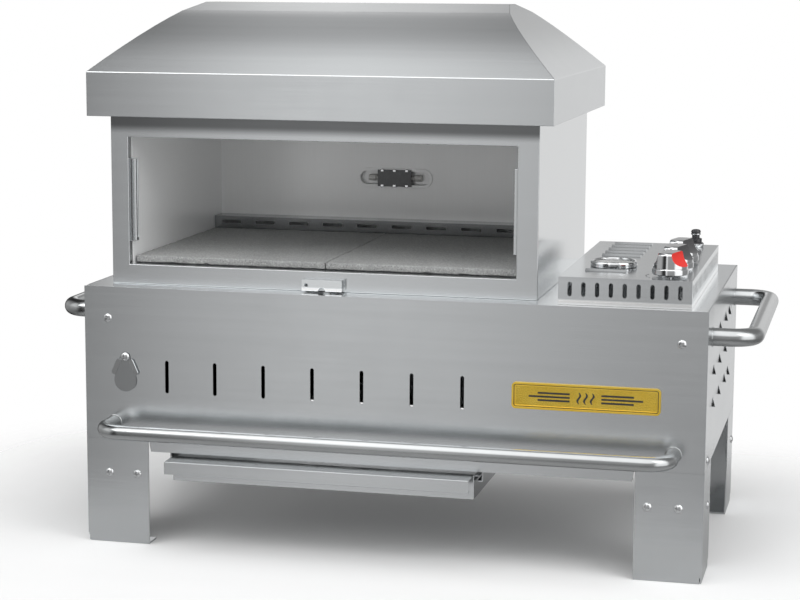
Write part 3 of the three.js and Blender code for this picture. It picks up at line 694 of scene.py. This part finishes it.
def insetFront(piece, y, width, shift):  # works on the front face lying at y, then moves the inner face
    choose(piece, lambda face: frontFace(face) and abs(face.center.y - y) < 0.05 * mm and face.area > 0.001)
    bpy.ops.mesh.inset(thickness=width, depth=0)
    bpy.ops.mesh.extrude_region_move(TRANSFORM_OT_translate={"value": (0, shift, 0)})
    objectMode()
    return y + shift


def addNamePlate():
    low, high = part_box("name_plate")
    plate = cube(low.x, high.x, low.y, high.y, low.z, high.z)
    choose(plate, lambda edge: abs((edgeLine(plate, edge)[0] - edgeLine(plate, edge)[1]).y) > mm, "EDGE")
    bpy.ops.mesh.bevel(offset=plateLook["corner"], segments=8, affect="EDGES")
    objectMode()
    y = insetFront(plate, low.y, plateLook["rim"], plateLook["deep"])
    y = insetFront(plate, y, plateLook["groove"], -0.8 * plateLook["deep"])
    y = insetFront(plate, y, plateLook["line"], plateLook["field"])
    bevelEdges(plate, 0.25 * mm, 2, 40.0)
    smooth(plate, 40.0)
    paint(plate, brassRim, brassGround, darkGap)
    paintFaces(plate, 1, lambda face: frontFace(face) and abs(face.center.y - y) < 0.05 * mm
               and face.area > 0.001)
    groove = low.y + plateLook["deep"]
    paintFaces(plate, 2, lambda face: frontFace(face) and abs(face.center.y - groove) < 0.05 * mm)
    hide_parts("name_plate")
    ready(plate, "name_plate.cast", "oven")

    middle = Vector(((low.x + high.x) / 2, y, (low.z + high.z) / 2))
    raised = []
    for k in range(plateLook["waves"]):
        x = middle.x + (k - (plateLook["waves"] - 1) / 2) * plateLook["wavePitch"]
        half, tall = plateLook["waveWidth"] / 2, plateLook["waveHeight"] / 2
        wave = cube(x - half, x + half, low.y + 0.1 * mm, y + 0.2 * mm, middle.z - tall, middle.z + tall)
        wholeMesh(wave)
        bpy.ops.mesh.subdivide(number_cuts=20)
        objectMode()
        for vertex in wave.data.vertices:
            share = (vertex.co.z - middle.z) / tall
            vertex.co.x = x + (vertex.co.x - x) * (1 - 0.7 * share * share)
            vertex.co.x += plateLook["swing"] * math.sin(share * math.pi)
        raised.append(wave)
    for side in (-1, 1):
        for z in plateLook["bars"]:
            near = middle.x + side * plateLook["barGap"]
            far = near + side * (plateLook["barLength"] - abs(z) * 2.5)
            tall = plateLook["barHeight"] / 2
            bar = cube(min(near, far), max(near, far), low.y + 0.2 * mm, y + 0.2 * mm,
                       middle.z + z - tall, middle.z + z + tall)
            raised.append(bar)
    motif = joined(raised, "name_plate_motif")
    bevelEdges(motif, 0.3 * mm, 2, 40.0)
    smooth(motif, 40.0)
    ready(motif, "name_plate_motif", "oven", blackInk)


print("name plate")
addNamePlate()


# Lighting-port cover: a drop of sheet with two ears bent forward, hanging on its screw

coverLook = dict(
    disc=20 * mm, hub=8 * mm, sheet=1.8 * mm, pivotHole=3.4 * mm,
    ear=8 * mm, earLength=29 * mm, earFlare=72.0, earLean=24.0, earOut=12.5 * mm, earUp=1.5 * mm,
)


def addPortCover():
    low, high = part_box("lighting_port_cover")
    screwLow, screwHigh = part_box("port_cover_screw")
    pivot = (screwLow + screwHigh) / 2
    back = high.y
    sheet = coverLook["sheet"]
    discX = (low.x + high.x) / 2
    discZ = low.z + coverLook["disc"]
    middle = back - sheet / 2
    disc = cylinder((discX, middle, discZ), coverLook["disc"], sheet, "y", 64)
    hub = cylinder((pivot.x, middle, pivot.z), coverLook["hub"], sheet, "y", 48)
    drop = joined([disc, hub], "drop")
    wholeMesh(drop)
    bpy.ops.mesh.convex_hull()
    objectMode()
    ears = []
    half = coverLook["earLength"] / 2
    earZ = (pivot.z + discZ) / 2 + coverLook["earUp"]
    for side in (-1, 1):
        ear = cube(-sheet / 2, sheet / 2, -coverLook["ear"], 0, -half, half)
        choose(ear, lambda edge: max(v.y for v in edgeLine(ear, edge)) < -mm and
               abs((edgeLine(ear, edge)[0] - edgeLine(ear, edge)[1]).x) > 0.5 * mm, "EDGE")
        bpy.ops.mesh.bevel(offset=4 * mm, segments=5, affect="EDGES")
        objectMode()
        flare = math.radians(coverLook["earFlare"])
        ear.rotation_euler = (0, 0, side * flare)
        settle(ear)
        ear.rotation_euler = (0, -side * math.radians(coverLook["earLean"]), 0)
        ear.location = (pivot.x + side * coverLook["earOut"], back - sheet, earZ)
        settle(ear)
        ears.append(ear)
    cover = joined([drop, *ears], "cover")
    hole = cylinder((pivot.x, middle, pivot.z), coverLook["pivotHole"], 20 * mm, "y", 32)
    cutWith(cover, hole)
    bevelEdges(cover, 0.35 * mm, 2, 35.0)
    smooth(cover, 35.0)
    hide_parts("lighting_port_cover")
    ready(cover, "lighting_port_cover.pressed", "lighting_port_cover", coverSteel, screwSteel)
    paintFaces(cover, 1, lambda face: face.center.y < back - sheet - 0.3 * mm)

    head = makeScrew()
    head.rotation_euler = (math.pi / 2, 0, 0)
    head.location = (pivot.x, screwLow.y + screwLook["rise"], pivot.z)
    settle(head)
    shank = cylinder((pivot.x, (screwHigh.y + screwLow.y) / 2 + mm, pivot.z), 2.9 * mm,
                     screwHigh.y - screwLow.y - 3 * mm, "y", 24)
    screw = joined([head, shank], "screw")
    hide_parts("port_cover_screw")
    ready(screw, "port_cover_screw.head", "oven", screwSteel)


print("port cover")
addPortCover()


# Knobs: a chromed drum with a finger scoop on each side, its scoops coloured, on a thin skirt

knobLook = dict(
    grip=12 * mm, scoop=22 * mm, scoopRise=13 * mm, edge=0.5 * mm, rest=-16.0,
    dots=7, dotRadius=1.3 * mm, dotRing=39 * mm, dotFrom=245.0, dotStep=14.0,
)


def addKnob(place, scoopFinish):
    node = "knob_" + place
    low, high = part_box(node)
    x, y, floor, tall = (low.x + high.x) / 2, (low.y + high.y) / 2, low.z, high.z - low.z
    r = (high.x - low.x) / 2
    profile = [
        (0, 0), (r - mm, 0), (r, 1 * mm), (r, 8 * mm), (r - 0.5 * mm, 9.5 * mm), (r - 1.5 * mm, 10.5 * mm),
        (r - 1.5 * mm, 12 * mm), (r - 2 * mm, 20 * mm), (r - 2.5 * mm, tall - 6 * mm),
        (r - 3.2 * mm, tall - 3.6 * mm), (r - 4.6 * mm, tall - 1.7 * mm), (r - 7 * mm, tall - 0.5 * mm),
        (r - 10 * mm, tall), (0, tall),
    ]
    knob = turned(profile, (0, 0, 0), steps=96)
    centres = []
    for side in (-1, 1):
        out = side * (knobLook["grip"] + knobLook["scoop"])
        centre = Vector((out, 0, knobLook["scoopRise"] + knobLook["scoop"]))
        cutWith(knob, cylinder(centre, knobLook["scoop"], 3 * r, "y", 96))
        centres.append(centre)
    paint(knob, chrome, scoopFinish)

    def inScoop(face):
        for centre in centres:
            offset = Vector((face.center.x - centre.x, 0, face.center.z - centre.z))
            if abs(offset.length - knobLook["scoop"]) < 0.15 * mm and face.normal.dot(offset) < 0:
                return True
        return False

    paintFaces(knob, 1, inScoop)
    modifier = knob.modifiers.new("edge", "BEVEL")
    modifier.width = knobLook["edge"]
    modifier.segments = 3
    modifier.limit_method = "ANGLE"
    modifier.angle_limit = math.radians(35)
    modifier.material = 0
    applyModifiers(knob)
    smooth(knob, 30.0)
    knob.rotation_euler = (0, 0, math.radians(knobLook["rest"]))
    knob.location = (x, y, floor)
    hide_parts(node)
    ready(knob, node + ".scooped", node)

    dots = []
    for k in range(knobLook["dots"]):
        angle = math.radians(knobLook["dotFrom"] - k * knobLook["dotStep"])
        ring = knobLook["dotRing"]
        at = (x + ring * math.cos(angle), y + ring * math.sin(angle), boxTop + 0.12 * mm)
        radius = knobLook["dotRadius"] * (0.6 + 0.1 * k)
        dots.append(turned([(0, 0), (radius, 0), (0.9 * radius, 0.12 * mm), (0, 0.14 * mm)], at, steps=20))
    marks = joined(dots, node + "_marks")
    ready(marks, node + "_marks", "oven", blackInk)


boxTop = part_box("gauge_case")[1].z - 10.3 * mm

print("knobs")
for place, scoopFinish in (("front", redLacquer), ("middle", blackPlastic), ("rear", blackPlastic)):
    addKnob(place, scoopFinish)


# Temperature gauge

gaugeLook = dict(
    radius=40 * mm, height=10 * mm, face=35 * mm, dome=2.4 * mm, needleRest=135.0,
    ticks=31, every=5, sweep=270.0, start=225.0, tick=(0.7 * mm, 3.2 * mm), longTick=(1.1 * mm, 5.2 * mm),
    figure=6.0 * mm, figureRing=22.5 * mm,
)


def addGauge():
    low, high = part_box("gauge_case")
    x, y = (low.x + high.x) / 2, (low.y + high.y) / 2
    seat = high.z - gaugeLook["height"]
    r, h = gaugeLook["radius"], gaugeLook["height"]
    profile = [
        (0, 0), (r - mm, 0), (r, mm), (r, 3.5 * mm), (r - 0.8 * mm, 4.2 * mm), (r - 0.8 * mm, 5.2 * mm),
        (r, 6 * mm), (r - 0.2 * mm, 8 * mm), (r - 1.2 * mm, h - 0.5 * mm), (r - 2.6 * mm, h),
        (r - 4 * mm, h - 0.5 * mm), (r - 5 * mm, h - 2 * mm), (r - 5 * mm, 2 * mm), (0, 2 * mm),
    ]
    case = turned(profile, (x, y, seat), steps=96)
    stem = cylinder((x, y, (low.z + seat) / 2), 7.5 * mm, seat - low.z, "z", 32)
    case = joined([case, stem], "gauge")
    smooth(case, 30.0)
    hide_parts("gauge_case")
    ready(case, "gauge_case.turned", "oven", chrome)

    dialLow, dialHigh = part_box("gauge_dial")
    face = gaugeLook["face"]
    rim = face - 0.3 * mm
    profile = [(0, 0), (rim, 0), (rim, 0.8 * mm), (face - 0.8 * mm, 1.0 * mm), (0, 1.0 * mm)]
    dial = turned(profile, (x, y, dialLow.z), steps=72)
    smooth(dial, 30.0)
    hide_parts("gauge_dial")
    ready(dial, "gauge_dial.face", "oven", dialWhite)

    top = dialHigh.z
    marks = []
    for k in range(gaugeLook["ticks"]):
        angle = math.radians(gaugeLook["start"] - k * gaugeLook["sweep"] / (gaugeLook["ticks"] - 1))
        wide, long = gaugeLook["longTick"] if k % gaugeLook["every"] == 0 else gaugeLook["tick"]
        mark = cube(face - 1.5 * mm - long, face - 1.5 * mm, -wide / 2, wide / 2, 0, 0.15 * mm)
        mark.rotation_euler = (0, 0, angle)
        mark.location = (x, y, top)
        settle(mark)
        marks.append(mark)
        if k % gaugeLook["every"] == 0:
            deselectAll()
            bpy.ops.object.text_add(location=(x + gaugeLook["figureRing"] * math.cos(angle),
                                              y + gaugeLook["figureRing"] * math.sin(angle), top))
            figure = bpy.context.object
            figure.data.body = str(k // gaugeLook["every"])
            figure.data.size = gaugeLook["figure"]
            figure.data.align_x = "CENTER"
            figure.data.align_y = "CENTER"
            figure.data.extrude = 0.07 * mm
            bpy.ops.object.convert(target="MESH")
            figure = bpy.context.object
            settle(figure)
            marks.append(figure)
    scale = joined(marks, "gauge_scale")
    ready(scale, "gauge_scale", "oven", blackInk)

    needleLow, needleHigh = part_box("gauge_needle")
    level = needleLow.z
    pointer = cube(-1.5 * mm, 1.5 * mm, -9 * mm, 30 * mm, 0.3 * mm, 1.1 * mm)
    choose(pointer, lambda vertex: vertex.co.y > 20 * mm, "VERT")
    bpy.ops.transform.resize(value=(0.15, 1, 1))
    objectMode()
    pointer.rotation_euler = (0, 0, math.radians(gaugeLook["needleRest"]))
    settle(pointer)
    profile = [(0, 0), (3.8 * mm, 0), (3.8 * mm, 0.9 * mm), (3 * mm, 1.5 * mm), (0, 1.6 * mm)]
    hub = turned(profile, (0, 0, 0), steps=32)
    needle = joined([pointer, hub], "needle")
    needle.location = (x, y, level)
    settle(needle)
    bevelEdges(needle, 0.12 * mm, 1, 40.0)
    smooth(needle, 40.0)
    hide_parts("gauge_needle")
    ready(needle, "gauge_needle.pointer", "gauge_needle", blackInk)

    glassLow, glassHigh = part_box("gauge_glass")
    glassRadius = (glassHigh.x - glassLow.x) / 2
    dome = gaugeLook["dome"]
    arc = [(glassRadius * math.cos(math.radians(a)), mm + dome * math.sin(math.radians(a)))
           for a in range(0, 91, 10)]
    under = [(r0 * 0.97, h0 - 0.9 * mm) for r0, h0 in reversed(arc)]
    lens = turned([(0, 0.1 * mm + dome)] + under[1:] + [(glassRadius, 0)] + arc, (x, y, glassLow.z), steps=72)
    smooth(lens, 40.0)
    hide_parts("gauge_glass")
    ready(lens, "gauge_glass.lens", "oven", gaugeLens)


print("gauge")
addGauge()


# Igniter: a knurled collar with a stepped push cap

igniterLook = dict(knurls=36, knurl=0.5 * mm)


def addIgniter():
    low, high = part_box("igniter_body")
    capLow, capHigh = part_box("igniter_button")
    x, y = (low.x + high.x) / 2, (low.y + high.y) / 2
    seat = high.z - 15 * mm
    profile = [
        (7.3 * mm, 4 * mm), (7.3 * mm, 14.6 * mm), (7.8 * mm, 15 * mm), (10.4 * mm, 15 * mm),
        (11 * mm, 14.4 * mm), (11 * mm, 8.4 * mm), (13 * mm, 7.4 * mm), (14.5 * mm, 5.4 * mm),
        (14.5 * mm, 0.6 * mm), (14 * mm, 0), (9.8 * mm, 0), (9.8 * mm, -28 * mm), (0, -28 * mm),
        (0, 4 * mm), (7.3 * mm, 4 * mm),
    ]
    body = turned(profile, (x, y, seat), steps=72)
    paint(body, blackPlastic, chrome)
    paintFaces(body, 1, lambda face: face.center.z > seat and face.center.z < seat + 6.2 * mm)
    for vertex in body.data.vertices:  # fine knurling round the collar
        out = Vector((vertex.co.x - x, vertex.co.y - y, 0))
        if 13.8 * mm < out.length and seat + 0.3 * mm < vertex.co.z < seat + 6 * mm:
            wave = math.cos(math.atan2(out.y, out.x) * igniterLook["knurls"])
            vertex.co -= out.normalized() * igniterLook["knurl"] * (1 - wave) / 2
    smooth(body, 30.0, weighted=False)
    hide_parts("igniter_body")
    ready(body, "igniter_body.turned", "oven")

    floor = capLow.z
    cap = turned([
        (0, 0), (6.9 * mm, 0), (6.9 * mm, 11 * mm), (8.6 * mm, 11.2 * mm), (9 * mm, 11.8 * mm),
        (9 * mm, 13.4 * mm), (8.2 * mm, 13.9 * mm), (8.2 * mm, 15.2 * mm), (8.7 * mm, 15.6 * mm),
        (8.7 * mm, 17 * mm), (7.6 * mm, 19.4 * mm), (5.6 * mm, 20.4 * mm), (3 * mm, 20.8 * mm), (0, 21 * mm),
    ], (x, y, floor), steps=64)
    paint(cap, blackPlastic, chrome)
    paintFaces(cap, 1, lambda face: 10.5 * mm < face.center.z - floor < 14.2 * mm)
    smooth(cap, 30.0, weighted=False)
    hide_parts("igniter_button")
    ready(cap, "igniter_button.cap", "igniter_button")


print("igniter")
addIgniter()


# Oven floor: two thick tiles with sandy faces, crumbled edges and knocked corners

stoneLook = dict(edge=1.6 * mm, cell=6 * mm, crumble=1.0 * mm, chip=2.2 * mm, grain=210.0)


def addStone(side):
    node = "stone_" + side
    low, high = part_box(node)
    tile = cube(*(value for pair in zip(low, high) for value in pair))
    wholeMesh(tile, "EDGE")
    bpy.ops.mesh.bevel(offset=stoneLook["edge"], segments=3, affect="EDGES")
    objectMode()
    # long faces and edges are cut into short lengths, so that the edge can crumble
    for axis, span in ((0, high.x - low.x), (1, high.y - low.y)):
        cuts = int(span / stoneLook["cell"])
        for k in range(1, cuts):
            at = [0.0, 0.0, 0.0]
            at[axis] = low[axis] + span * k / cuts
            normal = [0.0, 0.0, 0.0]
            normal[axis] = 1.0
            wholeMesh(tile)
            bpy.ops.mesh.bisect(plane_co=at, plane_no=normal)
            objectMode()
    for vertex in tile.data.vertices:
        inner = [min(vertex.co[k] - low[k], high[k] - vertex.co[k]) for k in range(3)]
        edgeness = sum(1 for gap in inner if gap < 2 * stoneLook["edge"])
        rough = noise.noise(vertex.co * stoneLook["grain"])
        bite = max(0.0, noise.noise(vertex.co * 55.0 + Vector((3.1, 0, 0))) - 0.28) * stoneLook["chip"] * 3
        move = stoneLook["crumble"] * (rough - 0.5) * (0.25 if edgeness < 2 else 1.0)
        if edgeness >= 2:
            move -= bite
        vertex.co += vertex.normal * min(move, 0.0)
    smooth(tile, 60.0, weighted=False)
    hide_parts(node)
    ready(tile, node + ".fired", node, ovenStone)


print("stones")
for side in ("left", "right"):
    addStone(side)


# Oven lamp: a dark window held by six clips, with the pale ends of its lamp beside it

lampLook = dict(clip=(5.5 * mm, 7 * mm, 1.2 * mm), clipXs=(-24 * mm, 0.0, 24 * mm), capLength=14 * mm)


def addLamp():
    low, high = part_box("lamp_glass")
    window = copyOf("lamp_glass", "lamp_glass.window")
    bevelEdges(window, 0.6 * mm, 2)
    smooth(window)
    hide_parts("lamp_glass")
    ready(window, window.name, "oven", smokedGlass)
    middle = (low + high) / 2
    wide, tall, thick = lampLook["clip"]
    clips = []
    for x in lampLook["clipXs"]:
        for sign in (-1, 1):
            edge = low.z if sign < 0 else high.z
            left, right = middle.x + x - wide / 2, middle.x + x + wide / 2
            outer, inner = edge + sign * thick, edge - sign * 0.5 * tall
            arm = cube(left, right, low.y - thick, high.y + 1.5 * mm, min(edge, outer), max(edge, outer))
            hook = cube(left, right, low.y - thick, low.y - 0.1 * mm, min(outer, inner), max(outer, inner))
            clips += [arm, hook]
    clip = joined(clips, "lamp_clips")
    bevelEdges(clip, 0.3 * mm, 2)
    smooth(clip)
    ready(clip, "lamp_clips", "oven", screwSteel)

    low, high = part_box("lamp_tube")
    y, z, radius = (low.y + high.y) / 2, (low.z + high.z) / 2, (high.z - low.z) / 2
    length = high.x - low.x
    cap, step = lampLook["capLength"], 1 * mm
    profile = [
        (0, 0), (radius - step, 0), (radius, step), (radius, cap - step), (radius - step, cap),
        (radius - 2 * step, cap + step), (radius - 2 * step, length - cap - step),
        (radius - step, length - cap), (radius, length - cap + step), (radius, length - step),
        (radius - step, length), (0, length),
    ]
    tube = turned(profile, (low.x, y, z), "x", steps=40)
    smooth(tube, 35.0)
    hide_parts("lamp_tube")
    ready(tube, "lamp_tube.bulb", "oven", ceramic)


print("lamp")
addLamp()


# Pieces whose CAD shape is already right

for node, material in dict(
    insulation_blanket=wool, igniter_electrode=ceramic,
    valve_stem_front=screwSteel, valve_stem_middle=screwSteel, valve_stem_rear=screwSteel,
    burner_front=burnerSteel, burner_middle=burnerSteel, burner_rear=burnerSteel,
).items():
    paint(frame["nodes"][node], material)


# Studio

studioLook = dict(
    floorSize=12.0, floorTone=(0.84, 0.845, 0.845), floorMirrored=(0.50, 0.50, 0.50),
    fadeFrom=0.08, fadeTo=0.60, footprint=(0.55, 0.30),
    place=(0.8175, -3.5324, 0.9738), turn=13.59, tilt=-8.85, roll=0.33, lens=92.8,
    front=1.02, level=0.20, high=1.5, back=0.95, deckGlow=0.30, backHigh=-0.42, zenith=0.35, side=0.6,
    columnLow=0.04, farLeft=0.45, columnRight=0.40, low=0.65, rightBack=0.42, edge=1.3,
)


# a pale floor that catches the shadow close to the oven and fades out into the white round it
def addFloor():
    deselectAll()
    bpy.ops.mesh.primitive_plane_add(size=studioLook["floorSize"], location=(0, 0, -0.0005))
    floor = bpy.context.object
    floor.name = "floor"
    settle(floor)
    surface = Finish("paleFloor", metal=0.0, rough=0.9)
    tone = surface.noise(0.4, 3.0, 0.5)
    pale = surface.mix(tone, studioLook["floorTone"], (0.86, 0.86, 0.86))
    mirrored = surface.add("ShaderNodeLightPath", {}, {}, "Is Glossy Ray")
    surface.set(colour=surface.mix(mirrored, pale, studioLook["floorMirrored"]))
    split = surface.nodeTree.nodes.new("ShaderNodeSeparateXYZ")
    surface.plug(split.inputs[0], surface.place)
    away = []
    for k in range(2):
        beyond = Val(surface, split.outputs[k]).math("ABSOLUTE") - studioLook["footprint"][k]
        away.append(beyond.math("MAXIMUM", 0.0))
    distance = (away[0] * away[0] + away[1] * away[1]).math("SQRT")
    surface.set(alpha=1 - distance.band(studioLook["fadeFrom"], studioLook["fadeTo"]))
    paint(floor, surface.material)


# white behind the oven for the eye; for its own light and reflections, a studio of soft panels
def addWorld():
    world = bpy.data.worlds.new("studio")
    bpy.context.scene.world = world
    world.use_nodes = True
    tree = Tree(world.node_tree)
    split = world.node_tree.nodes.new("ShaderNodeSeparateXYZ")
    tree.plug(split.inputs[0], tree.add("ShaderNodeTexCoord", {}, {}, "Generated"))
    x, y, z = (Val(tree, split.outputs[k]) for k in range(3))
    look = studioLook
    column = x.band(-0.42, -0.27) * (1 - look["columnLow"]) + look["columnLow"]
    column = column + (1 - x.band(-0.85, -0.6)) * look["farLeft"]
    column = column - x.band(-0.27, -0.11) * (1 - look["columnRight"])
    front = z.band(-0.14, -0.04) * look["level"] + look["front"]
    back = z.band(-0.05, 0.1) * look["deckGlow"] + z.band(0.25, 0.5) * look["backHigh"]
    back = back + z.band(0.8, 0.98) * look["zenith"] + look["back"]
    behind = y.band(-0.12, 0.1)
    level = front * (1 - behind) + back * behind
    level = level * (z.band(-0.5, -0.12) * (1 - look["low"]) + look["low"])
    aside = x.math("ABSOLUTE")
    sides = aside.band(0.5, 0.8) * z.band(0.05, 0.35) * look["side"] * (1 - behind)
    # caught by the folds along the top, then by those down the right
    sides = sides + z.band(0.25, 0.6) * (1 - behind) * (1 - aside.band(0.35, 0.6)) * look["high"]
    sides = sides + x.band(0.5, 0.7) * z.band(-0.4, -0.2) * (1 - behind) * look["edge"]
    sides = sides + x.band(-0.02, 0.06) * y.band(0.75, 0.95) * look["rightBack"]
    shown = level * column + sides
    seen = tree.add("ShaderNodeLightPath", {}, {}, "Is Camera Ray")
    shown = shown * (1 - seen) + seen
    light = world.node_tree.nodes["Background"]
    tree.plug(light.inputs["Color"], tree.colour(shown, (1.0, 1.0, 1.0)))


def addLights():
    for name, place, aim, size, power in (
        ("keyLight", (-2.4, -2.4, 3.2), (0, 0, 0.3), 1.6, 26.0),
        ("fillLight", (2.6, -1.8, 2.8), (0, 0, 0.4), 1.6, 22.0),
    ):
        bpy.ops.object.light_add(type="AREA", location=place)
        lamp = bpy.context.object
        lamp.name = name
        lamp.data.size = size
        lamp.data.energy = power
        lamp.rotation_mode = "QUATERNION"
        lamp.rotation_quaternion = (Vector(aim) - Vector(place)).to_track_quat("-Z", "Y")


def addCamera():
    bpy.ops.object.camera_add(location=studioLook["place"])
    camera = bpy.context.object
    turn = Matrix.Rotation(math.radians(studioLook["turn"]), 4, "Z")
    tilt = Matrix.Rotation(math.radians(90 + studioLook["tilt"]), 4, "X")
    roll = Matrix.Rotation(math.radians(studioLook["roll"]), 4, "Z")
    camera.matrix_world = Matrix.Translation(studioLook["place"]) @ turn @ tilt @ roll
    camera.data.lens = studioLook["lens"]
    camera.data.sensor_width = 36.0
    camera.data.clip_end = 200.0
    bpy.context.scene.camera = camera
    bpy.context.scene.view_settings.view_transform = "Standard"


print("studio")
addFloor()
addWorld()
addLights()
addCamera()
